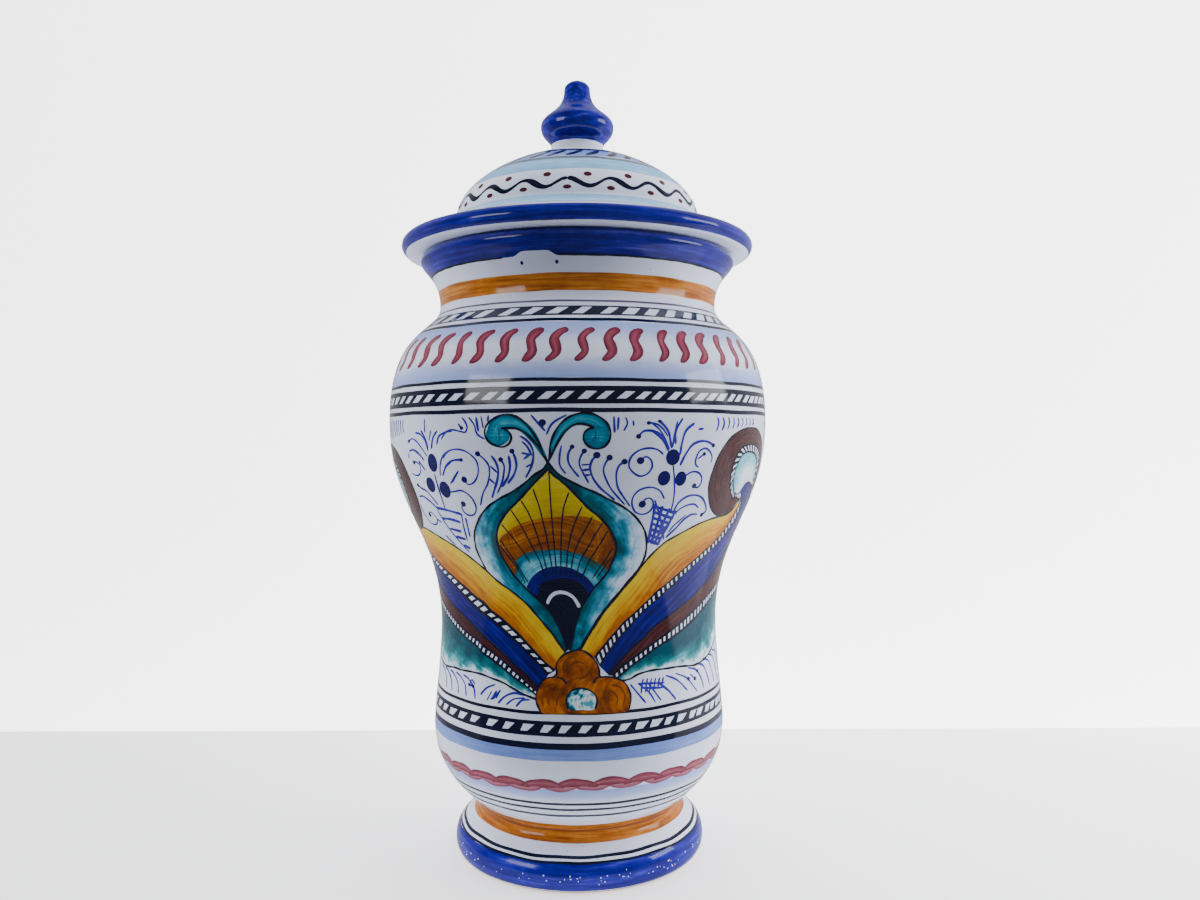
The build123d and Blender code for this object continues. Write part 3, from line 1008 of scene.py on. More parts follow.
right_rope_low = [
    (8.75, 82.5), (11.25, 86.3), (14, 89.7), (17, 92.9), (20, 95.8), (23, 98.7), (26, 101.4), (30, 104),
    (35, 107.8), (40, 111.4), (45, 114.9), (50, 118), (55, 121.1), (59, 123.9), (62, 127.3),
    (64.3, 130.4), (64.8, 134), (63.3, 137.4),
]
right_cobalt_low = [
    (12, 79.3), (15, 82.5), (18, 85.4), (22, 88.6), (26, 91.4), (30, 94.6), (35, 97.1), (40, 99.3),
    (45, 101.8), (50, 103.9), (55, 106.8), (60, 109.3), (63.5, 111.8), (66.5, 114.3), (70, 117.1),
    (73, 120),
]
right_small_top = [
    (13.5, 79), (16.5, 81.6), (20, 83.7), (25, 86.4), (30, 89), (35, 91.3), (40, 93.5), (45, 95.7),
    (50, 98), (55, 100.1), (60, 102.2), (65, 104.2), (70, 105.6), (78, 107.9), (87, 109.8),
]
right_small_low = [
    (14.5, 77.8), (17, 79.5), (20, 81.5), (25, 84.2), (30, 86.7), (35, 88.6), (40, 90.3), (45, 92.1),
    (50, 94.2), (55, 96.3), (60, 98.5), (65, 100.7), (70, 102.3), (78, 104.6), (87, 106.5),
]
right_teal_low = [
    (16.5, 77), (20, 77.5), (23, 78.7), (27, 79.4), (31, 79.6), (35, 79.4), (40, 79.3), (45, 78.9),
    (49, 78.4), (53, 78.2), (57, 78.7), (61, 79.4), (65, 80.4), (68, 81.4), (71.5, 82.9), (75, 84.3),
    (81, 88), (87, 93),
]
left_leaf_low = [
    (-7.5, 81.1), (-10, 82.9), (-13, 85.4), (-16.5, 88.6), (-20, 91.8), (-23, 94.3), (-28, 97.9),
    (-33, 100.7), (-35, 102.5), (-40, 105), (-45, 107.9), (-50, 110.4), (-55, 112.5), (-60, 114.6),
    (-65, 116.8), (-70, 118.6), (-74, 121.5), (-76.2, 124.9), (-77.7, 128.1), (-78.2, 130.9),
    (-77.7, 134.1),
]
left_rope_low = [
    (-10, 79.6), (-13, 82.5), (-16.5, 85.7), (-20, 88.6), (-25, 92.1), (-30, 95.4), (-35, 98.3),
    (-40, 100.4), (-45, 103.6), (-50, 106.4), (-55, 109.3), (-60, 111.4), (-65, 113.6), (-70, 115.4),
    (-75, 118.5), (-79, 122.4), (-80.6, 127.2), (-79, 131.9),
]
left_cobalt_low = [
    (-13, 74.8), (-15, 76.1), (-18, 78.9), (-23, 82.1), (-28, 85.7), (-33, 88.6), (-38, 91.4), (-40, 92.5),
    (-45, 95.4), (-50, 97.5), (-55, 99.6), (-60, 101.8), (-65, 103.6), (-75, 108.5), (-85, 114.8),
    (-88.7, 117.5),
]
left_small_top = [
    (-13.5, 73.4), (-15.5, 74.6), (-18, 76.4), (-23, 80), (-28, 83.2), (-33, 85.7), (-38, 87.6),
    (-40, 88.9), (-45, 90.4), (-50, 92.1), (-55, 94.3), (-60, 96.1), (-65, 97.9), (-75, 102.2),
    (-85, 107), (-93, 109.8),
]
left_small_low = [
    (-13.5, 72.2), (-15.5, 73.4), (-18, 75.2), (-23, 77.9), (-28, 80.7), (-33, 83.2), (-38, 85),
    (-40, 86.4), (-45, 88.2), (-50, 90), (-55, 91.8), (-60, 93.6), (-65, 95.4), (-75, 99.4),
    (-85, 103.9), (-93, 106.5),
]
left_teal_low = [
    (-14, 71), (-18, 72.1), (-23, 73.9), (-28, 75.7), (-33, 76.6), (-38, 77.3), (-45, 77.3), (-50, 77),
    (-55, 77), (-60, 76.4), (-65, 76.1), (-67.5, 76.4), (-70, 76.9), (-72.5, 77.3), (-80, 80), (-85, 84),
    (-93, 93),
]


def mirrored(line):
    """The left volute is the right one mirrored, and sits a little lower."""
    return [(-15.7 - angle, height - 5.5) for angle, height in line]


hook_low = [
    (58.6, 141.6), (60, 141.4), (61.5, 139.3), (63, 136.4), (64.3, 134.3), (66, 131), (69, 126),
    (73, 121.6), (80, 124), (87, 126),
]
hook_top = [
    (57.3, 141.1), (59, 141.6), (60, 143.2), (61.5, 144.6), (63.5, 145.2), (66, 144.9), (69, 142.9),
    (72.5, 140.4), (78, 136.5), (87, 132),
]
hook_under = [(62, 128), (64.3, 125), (66, 120), (70, 117), (73, 120), (80, 123.5), (87, 126)]

leaf_yellow = painted(
    "yellow_shaded_to_orange",
    [(0.0, "#dcc424"), (0.35, "#d6aa12"), (0.6, "#c4820a"), (0.8, "#a05406"), (1.0, "#b87010")],
    gradient=0.75,
    streak=1.0,
    fine=1.0,
    patchy=0.5,
)
leaf_brown = painted(
    "manganese_brown",
    [(0.2, "#260c10"), (0.5, "#3c181c"), (0.85, "#582a2e")],
    streak=1.2,
    fine=1.0,
    patchy=0.5,
)
leaf_teal = painted(
    "copper_teal_ground",
    [(0.0, TIN_WHITE), (0.2, "#bcd8e4"), (0.34, "#3c96a0"), (0.5, "#0e6670"), (0.85, "#063e50")],
    gradient=0.8,
    streak=0.5,
    fine=0.7,
    patchy=0.9,
)


def faded_toe(along, share, across):
    """Teal that goes to white above its lower edge, more so towards the leaf's far end."""
    from_edge = across.max(axis=1, keepdims=True) - across
    return from_edge / (5 + 22 * along**2)


leaf_grounds = [
    (right_leaf_top, right_leaf_low),
    (left_leaf_top, left_leaf_low),
]
both_sides("leaf_yellow", [field(jar_skin, *edges) for edges in leaf_grounds], leaf_yellow, 1)
both_sides(
    "leaf_cobalt",
    [
        field(jar_skin, right_rope_low[:16], right_cobalt_low),
        field(jar_skin, left_rope_low[:15], left_cobalt_low),
        field(jar_skin, hook_top, hook_low),
        field(jar_skin, hook_low[4:], hook_under),
        field(jar_skin, mirrored(hook_top), mirrored(hook_low)),
        field(jar_skin, mirrored(hook_low[4:]), mirrored(hook_under)),
    ],
    deep_cobalt,
)
both_sides(
    "leaf_brown",
    [
        field(jar_skin, right_cobalt_low + [(80, 123.5), (87, 126)], right_small_top),
        field(jar_skin, left_cobalt_low + [(-93, 120.5)], left_small_top),
    ],
    leaf_brown,
    1,
)
both_sides(
    "leaf_teal",
    [
        field(jar_skin, right_small_low, right_teal_low, faded_toe),
        field(jar_skin, left_small_low, left_teal_low, faded_toe),
    ],
    leaf_teal,
)
leaf_ropes = [
    (right_leaf_low, right_rope_low),
    (left_leaf_low, left_rope_low),
    (right_small_top, right_small_low),
    (left_small_top, left_small_low),
]
both_sides("leaf_rope_grounds", [field(jar_skin, *edges) for edges in leaf_ropes], blue_black, 2)


def rope_along(skin, upper, lower, period, long, lean, inset=0.16):
    """White dashes along a rope that follows a leaf: each is long mm, and leans by lean mm."""
    length = min(drawn(skin, upper)[1][-1], drawn(skin, lower)[1][-1])
    marks = []
    for i in range(round(length / period)):
        middle = (i + 0.5 + chance.uniform(-0.1, 0.1)) * period
        half = long / 2 * chance.uniform(0.8, 1.15)
        ends = np.array([[middle - half, middle + half]]) + np.array([[lean], [-lean]]) / 2
        top, foot = (
            drawn(skin, edge, at=np.clip(end / length, 0, 1))[0] for edge, end in zip((upper, lower), ends)
        )
        sides = [(1 - inset) * top + inset * foot, inset * top + (1 - inset) * foot]
        edges = [[(angle, up_from(skin, slope)) for angle, slope in side] for side in sides]
        marks.append(field(skin, *edges))
    return marks


leaf_rope_marks = [
    *rope_along(jar_skin, right_leaf_low, right_rope_low, 2.2, 0.95, 0.7, 0.14),
    *rope_along(jar_skin, left_leaf_low, left_rope_low, 3.5, 2.0, -1.6, 0.24),
    *rope_along(jar_skin, right_small_top, right_small_low, 2.2, 0.95, 0.8, 0.2),
    *rope_along(jar_skin, left_small_top, left_small_low, 2.1, 0.9, -0.7, 0.2),
]
both_sides("leaf_rope_dashes", leaf_rope_marks, tin_glaze, 3)
leaf_lines = [
    right_leaf_top, right_leaf_low, right_rope_low, right_cobalt_low, right_small_top, right_small_low,
    right_teal_low, left_leaf_top, left_leaf_low, left_rope_low, left_cobalt_low, left_small_top,
    left_small_low, left_teal_low,
]
both_sides("leaf_outlines", line_marks(leaf_lines, 0.7), blue_black, 3)

# The volutes
# Where each leaf curls over at the shoulder: a broad ring in manganese brown, a rope inside it, and
# a turquoise eye that fades to white where the cobalt of the leaf hooks into it.
ring_outer = [
    (57.4, 134.4), (55, 133.8), (52, 133.4), (50, 133.7), (47, 135), (44, 137.9), (42, 141.4), (41, 145.7),
    (41.3, 149.6), (42.5, 154.3), (44.5, 158.2), (47, 161.1), (50, 163.2), (54, 164.6), (58, 165.2),
    (62, 165), (65, 164.3), (68, 162.5), (70.5, 160), (72, 157.1), (73.4, 153), (74, 148),
    (73.6, 143.5), (72.5, 140.4),
]
ring_inner = [
    (61, 139.4), (59, 139.4), (57, 140), (56, 139.6), (54, 140.7), (52, 142.9), (50.6, 146.4),
    (50.2, 149.3), (50.6, 152.9), (52, 156.1), (54, 158.2), (56.5, 158.9), (60, 159.3), (63.5, 158.7),
    (66.5, 157.5), (68.8, 155.7), (70, 152.9), (70.6, 148), (70.4, 144), (69.8, 142.2),
]
eye_edge = [
    (57.3, 141.1), (55, 141.8), (53.3, 143.9), (52, 147.1), (52, 150), (52.8, 152.9), (54.5, 155.4),
    (56.5, 156.3), (60, 156.4), (63, 155.9), (65.5, 154.6), (67.5, 152.5), (68.6, 149), (68.6, 145),
    (67.8, 143.6),
]
eye_fill = [
    (57.3, 141.1), (58, 142), (59.2, 144), (60.2, 146.5), (62, 147.5), (63.5, 147.5), (65.5, 146.5),
    (67.8, 143.6),
]
eye_turquoise = painted(
    "turquoise_eye_wash",
    [(0.05, "#2f93a6"), (0.35, "#7fc0d2"), (0.65, "#cfe6ee"), (0.85, TIN_WHITE)],
    gradient=0.75,
    streak=0.7,
    patchy=0.5,
)
rings = [(ring_outer, ring_inner), (mirrored(ring_outer), mirrored(ring_inner))]
rope_rings = [(ring_inner, eye_edge), (mirrored(ring_inner), mirrored(eye_edge))]
eyes = [(eye_edge, eye_fill), (mirrored(eye_edge), mirrored(eye_fill))]
both_sides("volute_rings", [field(jar_skin, *edges) for edges in rings], leaf_brown, 1)
both_sides("volute_rope_grounds", [field(jar_skin, *edges) for edges in rope_rings], blue_black, 1)
both_sides("volute_eyes", [field(jar_skin, *edges) for edges in eyes], eye_turquoise, 2)
both_sides(
    "volute_rope_dashes",
    [m for edges in rope_rings for m in rope_along(jar_skin, *edges, 2.0, 0.9, 0.0, 0.14)],
    tin_glaze,
    3,
)
volute_lines = [ring_outer, ring_inner, eye_edge, hook_top]
volute_lines += [mirrored(line) for line in volute_lines]
both_sides("volute_outlines", line_marks(volute_lines, 0.65), blue_black, 3)

# The rosette
# It covers the spring of the leaves: three lobes of iron orange-brown, with the darker turns of the
# brush left in them, round a marbled turquoise eye.
rosette_left = [
    (2.2, 66.6), (-6, 66.6), (-12.5, 67.0), (-13.8, 69.3), (-14.4, 72.1), (-13.5, 75), (-12, 77.5),
    (-10, 78.6), (-8, 78.9), (-6.8, 80), (-7.1, 82.5), (-6, 85), (-4, 86.8), (-2, 87.6), (1, 88.2),
]
rosette_right = [
    (2.2, 66.6), (11, 66.6), (19.3, 67.3), (20.1, 70.7), (19.5, 73.9), (17.5, 76.8), (14.5, 78.2),
    (11, 78.9), (8.8, 78.9), (8.5, 81.4), (7, 84.6), (4.5, 87), (2.6, 88), (1, 88.2),
]
eye_left = [(2.2, 67.9), (-2.6, 68.2), (-3.3, 70.7), (-2.5, 73.4), (-0.5, 74.8), (2.2, 75.2)]
eye_right = [(2.2, 67.9), (6.9, 68.2), (7.6, 70.4), (7, 72.7), (5, 74.4), (2.2, 75.2)]
rosette_brown = painted(
    "iron_orange_brown",
    [(0.15, "#4c2004"), (0.4, "#7a3a05"), (0.65, "#9e540a"), (0.9, "#b46e16")],
    streak=0.9,
    fine=0.6,
    patchy=1.6,
)
marbled_eye = painted(
    "marbled_turquoise",
    [(0.3, "#083a4e"), (0.42, "#1c7488"), (0.55, "#6cb6c8"), (0.7, "#dceaf0"), (0.9, "#3f98b0")],
    streak=0.8,
    fine=0.5,
    patchy=2.6,
)
both_sides("rosettes", [field(jar_skin, rosette_left, rosette_right)], rosette_brown, 4)
both_sides("rosette_eyes", [field(jar_skin, eye_left, eye_right)], marbled_eye, 5)
lobe_swirls = [
    [(-11.6, 69), (-12, 72.5), (-10.4, 75.8), (-7.6, 76.4)],
    [(-9.4, 69), (-9.8, 72), (-8.2, 74), (-6, 74.2)],
    [(-6.8, 69.2), (-6.2, 72.4), (-4.2, 75.6)],
    [(-4.2, 79.6), (-4.6, 82.6), (-2.6, 85.2), (0.4, 86.2)],
    [(-2, 80.4), (-1.8, 83), (0.6, 84.2), (3.4, 83.4)],
    [(1.2, 78.2), (3.8, 79.4), (5.6, 81.6)],
    [(17.2, 69), (17.8, 72.2), (16, 75), (12.8, 76)],
    [(14.6, 68.8), (15, 71.6), (13.4, 73.6), (10.8, 74)],
    [(11.6, 69), (11.2, 71.8), (9.4, 74)],
]
swirl_brown = painted("iron_brown_turns", [(0.2, "#542606"), (0.8, "#7c420e")], streak=1.0)
both_sides("rosette_swirls", line_marks(lobe_swirls, 0.6, 0.3, (3, 3)), swirl_brown, 5)
rosette_lines = [
    rosette_left[2:],
    rosette_right[2:],
    eye_left[1:],
    eye_right[1:],
    [(-7, 79), (-4.6, 78.2), (-3.2, 76.6)],
    [(9, 79), (7.2, 78.2), (6.4, 76.8)],
]
both_sides("rosette_outlines", line_marks(rosette_lines, 0.6, 0.3), blue_black, 6)

# Cobalt linework
# Sprigs, scrolls, combs and baskets drawn on the white with the tip of a fine brush, pale where the
# colour ran thin and dark in the drops that end the strokes.
pen_cobalt = painted(
    "cobalt_linework",
    [(0.1, "#4c46bc"), (0.5, "#2c269c"), (0.9, "#18127c")],
    gradient=0.25,
    streak=0.8,
    fine=0.6,
    patchy=0.5,
)
berry_blue = painted("cobalt_drops", [(0.2, "#080448"), (0.8, "#161068")], streak=0.7, patchy=0.5)

berries = [
    ((26.9, 155), 4.2, 5.4), ((24.9, 148), 3.8, 5.0), ((30.2, 147.7), 3.6, 5.0),
    ((-42.7, 153.2), 4.0, 6.4), ((-45.8, 145.4), 4.0, 5.4), ((-39.8, 143.9), 4.4, 5.8),
    ((83.4, 155.5), 4.0, 5.4), ((90.6, 155.5), 4.0, 5.4), ((87, 149.5), 4.0, 5.4),
]
both_sides("berries", [drop(jar_skin, *berry) for berry in berries], berry_blue, 2)

# Each line's places; a line that ends in a drop has the drop's size after it.
right_lines = [
    ([(29, 135.7), (29.1, 140), (28.5, 145.7), (27.5, 150.7), (27, 153)], 0),
    ([(22.5, 167.5), (25, 163.6), (26.3, 157.9)], 0),
    ([(20, 166.8), (22.5, 164.3), (25.7, 157.5)], 0),
    ([(20, 164.3), (23.5, 160.7), (25.5, 156.8)], 0),
    ([(29.5, 168.2), (27.5, 164.3), (26.5, 158.2)], 0),
    ([(27.8, 167.1), (27.2, 163.6), (27.5, 159.3)], 0),
    ([(33.3, 166.6), (30.5, 163.9), (29.3, 159.3), (29, 155.7)], 0),
    ([(34.5, 164.4), (36.5, 164.6)], 0),
    ([(29.3, 152.1), (31, 156.4), (33, 159.3), (36, 160.4), (38.5, 160), (40.3, 158.9)], 1.5),
    ([(40, 152.9), (40.3, 154.6), (39.5, 156.4), (37.5, 157.9), (35.5, 157.1), (34.5, 155),
      (34.5, 152.5), (35.8, 151.3)], 0),
    ([(35, 154.3), (37.2, 156)], 1.3),
    ([(31.5, 148.6), (33.5, 149.9), (36, 149.6), (37.5, 147.9), (37.5, 145.4), (36.5, 144.4),
      (35.3, 145.1)], 1.8),
    ([(30, 136.4), (31, 139.3), (33.5, 141.4), (36.5, 141.8), (39.5, 140.7), (41.5, 138.6),
      (42.8, 135.7), (41.5, 134.6)], 1.5),
    ([(30.3, 135), (32, 137.1), (34.5, 138.4), (37, 138.6), (39.3, 137.1)], 0),
    ([(29.5, 127.1), (32.5, 130.4), (35, 133.6), (37, 134.9), (39.8, 134.9)], 0),
    ([(30, 128.9), (31.5, 131.4), (33, 132.9), (35, 135)], 0),
    ([(24, 155.9), (22.5, 157.4), (19.5, 158.1), (16.5, 157), (14.8, 154.8), (14.5, 152.3),
      (15.8, 150.1), (18, 148.8), (20, 149.8), (21, 152), (20.5, 154.2), (19, 155.3), (17.6, 154)], 2.4),
    ([(26, 140.9), (24, 143.9), (22, 144.9), (19.5, 144.8), (17.5, 143.7), (16.3, 141.4), (16.5, 138.7),
      (18, 136.4), (20, 135.8), (22, 136.7), (22.8, 138.7), (22.3, 140.6), (21, 141.4), (20, 140.9),
      (19.4, 139.3)], 2.4),
    ([(-2, 149.8), (-3.5, 152.6), (-3.5, 155.9), (-3, 159.2)], 0),
    ([(1.5, 148.7), (0, 150.9), (-1.3, 153.7), (-1.3, 156.4), (-0.3, 158.7)], 1.4),
    ([(4, 146.7), (2.3, 150.6), (1.5, 153.1), (1.8, 155.3), (2.8, 157.3)], 1.6),
    ([(11.3, 140.9), (9.5, 142.6), (6.5, 145.9), (4.8, 149.2), (4.3, 152), (4.8, 154.2), (6, 155.9)], 2.2),
    ([(14.3, 139.2), (12, 142), (10, 144.8), (8.5, 148.1), (7.8, 150.9), (8.3, 153.4), (9.3, 155.1)], 1.9),
    ([(15.8, 138.7), (13.8, 141.7), (12, 144.8), (11.3, 148.1), (11.3, 150.3), (12, 152.6),
      (13.3, 153.7)], 1.9),
    ([(2, 152.7), (4.2, 152.9)], 0),
    ([(2.2, 151), (4.4, 151.2)], 0),
    ([(2.6, 149.2), (4.6, 149.5)], 0),
    ([(25.5, 157.6), (24.3, 160.3), (22.8, 162.6), (20.5, 163.8), (18, 163.6), (16.8, 162)], 1.6),
    ([(25, 162), (23.5, 164.5), (21.5, 166.2), (19.5, 166.4)], 1.3),
    ([(25.8, 162), (24.5, 164.8), (22.5, 167)], 1.1),
    ([(10.3, 168.7), (10.5, 163.1)], 0),
    ([(11.5, 168.4), (11.3, 163.9)], 0),
    ([(13.3, 168.4), (13.8, 166.4), (12.8, 163.7)], 0),
    ([(15.3, 167.3), (15.5, 165.3)], 0),
    ([(-7, 163.7), (-10.8, 169.2)], 0),
    ([(-6.8, 162.6), (-5.5, 165.9), (-1.5, 169.2)], 0),
    ([(-7.8, 164.6), (-7.8, 166.6)], 2.2),
    ([(23, 140.7), (26, 134), (29, 126.4)], 0),
    ([(30.5, 135), (28.6, 131), (26, 127)], 0),
]
# The baskets that the sprigs stand in: bold rungs, and at the right a grid.
rungs = [
    [(-46.8, 137.2), (-42, 136.6), (-36, 135.4)], [(-45.6, 133.4), (-41, 133.2), (-37.4, 132.4)],
    [(-43.6, 129.8), (-38.4, 129)], [(-41.8, 127), (-37.6, 126.2)], [(-39.6, 124), (-36.8, 122.9)],
]
BASKET_ROWS, BASKET_STAVES = 7, 4
for i in range(BASKET_ROWS):
    share = i / (BASKET_ROWS - 1)
    rungs.append([(22.8 + share, 138.6 - 12.2 * share), (31.2 - 4.2 * share, 135.6 - 10.6 * share)])
for i in range(BASKET_STAVES):
    share = i / (BASKET_STAVES - 1)
    rungs.append([(23.4 + 7.4 * share, 139.4 - 2.6 * share), (23.6 + 3.4 * share, 125.4 - share)])
for i in range(9):
    angle = 41.5 + 2.3 * i
    right_lines.append(([(angle, 168.8), (angle + 0.5, 166.8), (angle - 0.4, 163.6 + 0.35 * i)], 0))
left_lines = [
    ([(-12.8, 148.4), (-11.3, 151.4), (-10.5, 154.2), (-10.3, 156.7), (-10.8, 158.9), (-12, 160.9),
      (-13.8, 162.3)], 0),
    ([(-10.8, 155.9), (-11.8, 158.7), (-13.3, 160.6)], 0),
    ([(-18, 146.4), (-15.8, 149.8), (-15, 152.8), (-15.3, 155.3), (-16, 157.3)], 1.6),
    ([(-21.5, 143.1), (-19.8, 146.4), (-18.8, 149.8), (-18.5, 152.6), (-19.3, 154.5)], 1.6),
    ([(-23.5, 141.4), (-22, 144.8), (-20.8, 148.1), (-20.3, 150.9), (-20.8, 153.7), (-22, 155.9)], 0),
    ([(-27.8, 138.7), (-26, 143.1), (-24, 146.4), (-23, 149.8), (-23, 152.6), (-24.3, 154.8),
      (-26, 156.4)], 1.8),
    ([(-19.8, 145.3), (-17.5, 149.2), (-16.8, 152.6), (-17, 155.9)], 0),
    ([(-13.5, 156.7), (-10.5, 156)], 0),
    ([(-13, 154.6), (-11, 156.5)], 0),
    ([(-12.5, 152), (-11, 153)], 0),
    ([(-22.5, 152.3), (-20.5, 150)], 0),
    ([(-23.3, 148.1), (-21.8, 146.4)], 0),
    ([(-38, 154.8), (-36.5, 156.7), (-34, 157.8), (-31, 157.7), (-28.3, 156.2), (-26.5, 153.7),
      (-26.3, 150.9), (-27.3, 148.1), (-29, 146.3), (-30.5, 146), (-31.5, 147.6)], 2.2),
    ([(-38, 151.4), (-35.5, 153.7), (-33.5, 154.3), (-31.5, 154.3)], 1.3),
    ([(-37, 145.9), (-33, 150.6)], 0),
    ([(-38, 143.1), (-36, 143.4), (-33.5, 143.8), (-31.5, 142.8), (-29.8, 140.3), (-29.5, 138.1),
      (-30.8, 135.6), (-32.8, 135.1), (-34.5, 136.2), (-34.8, 138.1), (-33.9, 139.1)], 2.0),
    ([(-38, 161.2), (-36.5, 163.4), (-34, 164.5), (-31, 163.9), (-29.3, 163.7), (-28.8, 165),
      (-29.5, 167.3), (-30.5, 168.7)], 0),
    ([(-31.8, 166.6), (-30.6, 165)], 1.3),
    ([(-23.5, 161.2), (-25.8, 163.1), (-26.5, 165.9), (-28.3, 168.7)], 0),
    ([(-25.3, 163.7), (-26, 168.7)], 0),
    ([(-23.8, 164.8), (-24.5, 169)], 0),
    ([(-22.5, 167), (-22.3, 169.2)], 0),
    ([(-42.3, 137.1), (-42.3, 140), (-42.5, 145), (-42.7, 149.6)], 0),
    ([(-43.8, 157.9), (-44.6, 161.4), (-46.7, 164.6)], 0),
    ([(-43.8, 157.1), (-45, 161.1), (-47.1, 163.2), (-49.6, 163.7)], 0),
    ([(-44.6, 155.4), (-46.7, 158.2), (-49.2, 160.7), (-51.7, 161.6), (-53.5, 160.7)], 1.4),
    ([(-46.3, 153.9), (-48.8, 156.4), (-51.7, 157.7), (-54, 157.1)], 0),
    ([(-43.1, 160.7), (-41.9, 164.6)], 0),
    ([(-42.3, 157.9), (-41.3, 161.8), (-39.4, 164.3)], 0),
    ([(-44.8, 163.6), (-44.6, 168.6)], 0),
    ([(-40, 159.3), (-39, 162.1), (-36.7, 163.6), (-33.8, 164.1)], 0),
    ([(-40.4, 148.6), (-39.4, 152.9), (-37.9, 155.7), (-35.4, 157.5)], 0),
    ([(-39.4, 148.6), (-37.5, 151.8), (-35, 153.9)], 0),
    ([(-36.3, 146.4), (-32.9, 150.7)], 0),
    ([(-49.2, 153.9), (-49.4, 150), (-50.8, 148.7), (-52.9, 148.6), (-55, 149.3)], 0),
    ([(-49.4, 152.5), (-50.6, 153.4), (-52.1, 153.2)], 1.5),
    ([(-54.4, 156.4), (-55, 154.6)], 0),
    ([(-49.2, 153.9), (-46.7, 150.4)], 0),
    ([(-45.2, 138.2), (-46.7, 140.4), (-49.2, 143.2), (-51.3, 143.9), (-53.1, 145)], 1.4),
    ([(-45.8, 136.4), (-47.5, 138.2), (-50, 140), (-52.5, 141.1), (-54.8, 140.7)], 0),
    ([(-56.3, 137.9), (-56, 134.3), (-54.6, 131.4), (-52.1, 130.7), (-50, 131.1), (-48.8, 132.9),
      (-50.2, 135), (-51.7, 135.2), (-52.3, 134.3)], 1.6),
    ([(-48.8, 132.9), (-46.7, 131.8)], 0),
    ([(-46.7, 136.4), (-43.8, 129.3), (-40.8, 125), (-37.9, 121.4)], 0),
    ([(-35.8, 135.7), (-36.7, 130.7), (-37.1, 125.7)], 0),
    ([(-47.5, 127.1), (-43.8, 123.6)], 0),
    ([(-34.6, 134.3), (-35.4, 127.1)], 0),
]
for i in range(8):
    angle = -56.5 - 1.9 * i
    left_lines.append(([(angle, 168.6), (angle - 0.7, 166.4), (angle + 0.3, 163.5 - 0.3 * i)], 0))
# Between the volutes, at each side of the jar, a sprig that leans neither way.
SIDE = 87               # degrees from the front to where the two paintings meet
side_sprig = [
    ([(0.4, 158), (1.2, 163), (3.2, 167.4)], 0),
    ([(0.8, 158), (3, 162.6), (6.4, 165.6)], 1.5),
    ([(2, 151), (6.4, 151.4), (8.2, 148), (6.6, 145), (4.6, 146.6)], 1.8),
    ([(0.6, 141), (4, 143), (7.6, 141.4), (8.4, 138.2)], 1.5),
    ([(7, 157.4), (9.4, 160.4), (12.4, 161.4), (14, 164.4)], 0),
    ([(9, 168.6), (9.6, 165.4)], 0),
    ([(11.2, 168.6), (11.8, 165.8)], 0),
    ([(13.6, 168.6), (14, 166.6)], 0),
]
side_lines = [([(SIDE, 136.5), (SIDE, 142), (SIDE, 147)], 0)]
for way in (-1, 1):
    for line, drop_size in side_sprig:
        side_lines.append(([(SIDE + way * right, height) for right, height in line], drop_size))
# Under the leaves, nested arcs like a scale pattern, with short ladders across them.
low_lines = [
    ([(-31, 74.6), (-35, 72.9), (-38, 70)], 0),
    ([(-29.5, 68.2), (-27, 70.7), (-23, 72.5), (-18, 72.1)], 0),
    ([(-26, 68.2), (-23, 70.4), (-18.5, 71.2)], 0),
    ([(-22, 67.9), (-19.5, 70.4), (-16.5, 70.7)], 0),
    ([(-33, 69.3), (-31.3, 70), (-30, 71.4), (-28.5, 72.9)], 0),
    ([(-34.6, 68.6), (-32.4, 72.2)], 0),
    ([(-32.4, 69.2), (-30.2, 72.6)], 0),
    ([(-30.4, 69.8), (-28.6, 73.2)], 0),
    ([(-44.6, 71.8), (-42.9, 74.6), (-41, 73.2)], 0),
    ([(-45.4, 72.8), (-42, 72.4)], 1.3),
    ([(20, 75.7), (23, 72.1), (26, 68.6)], 0),
    ([(23, 75.7), (27.5, 72.1), (30, 68.2)], 0),
    ([(27, 75.7), (32.5, 68.6)], 0),
    ([(31.5, 75), (35.5, 72.1), (39.5, 67.9)], 0),
    ([(35, 77.1), (40, 75), (46, 70)], 0),
    ([(40, 77.1), (45, 75), (52, 68.6)], 0),
    ([(44, 75.6), (47, 74)], 1.5),
    ([(48, 75.6), (51, 73.4)], 1.5),
    ([(51, 77.3), (53, 75.8)], 1.3),
    ([(23, 75.6), (34.5, 74.6)], 0),
    ([(24, 74), (33.5, 73)], 0),
]
for i in range(6):
    angle = 24.6 + 1.75 * i
    low_lines.append(([(angle + 0.7, 77.2 - 0.1 * i), (angle, 74.6), (angle - 0.4, 72 + 0.2 * i)], 0))
for i in range(5):
    angle = -46 - 5.2 * i
    low_lines.append(([(angle + 5.5, 68.2), (angle + 4.4, 72), (angle + 1, 74.6), (angle - 2.6, 75.6)], 0))
for i in range(5):
    angle = 50 + 5.4 * i
    rise = i * 0.7
    low_lines.append(
        ([(angle - 3, 78 + rise), (angle + 2.4, 76.2 + rise), (angle + 5.6, 72.4), (angle + 7, 68.6)], 0)
    )
for i in range(4):
    angle = 84 - 6 * (i % 2) + 3 * i
    low_lines.append(([(angle - 2, 76 + 2 * i), (angle, 80 + i), (angle + 2.4, 76 + 2 * i)], 0))
PEN_WIDTH = 0.72
pen_drops = []
pen_marks = [mark(jar_skin, rung, 1.5 * PEN_WIDTH, tips=(0.7, 0.7), shake=0.15) for rung in rungs]
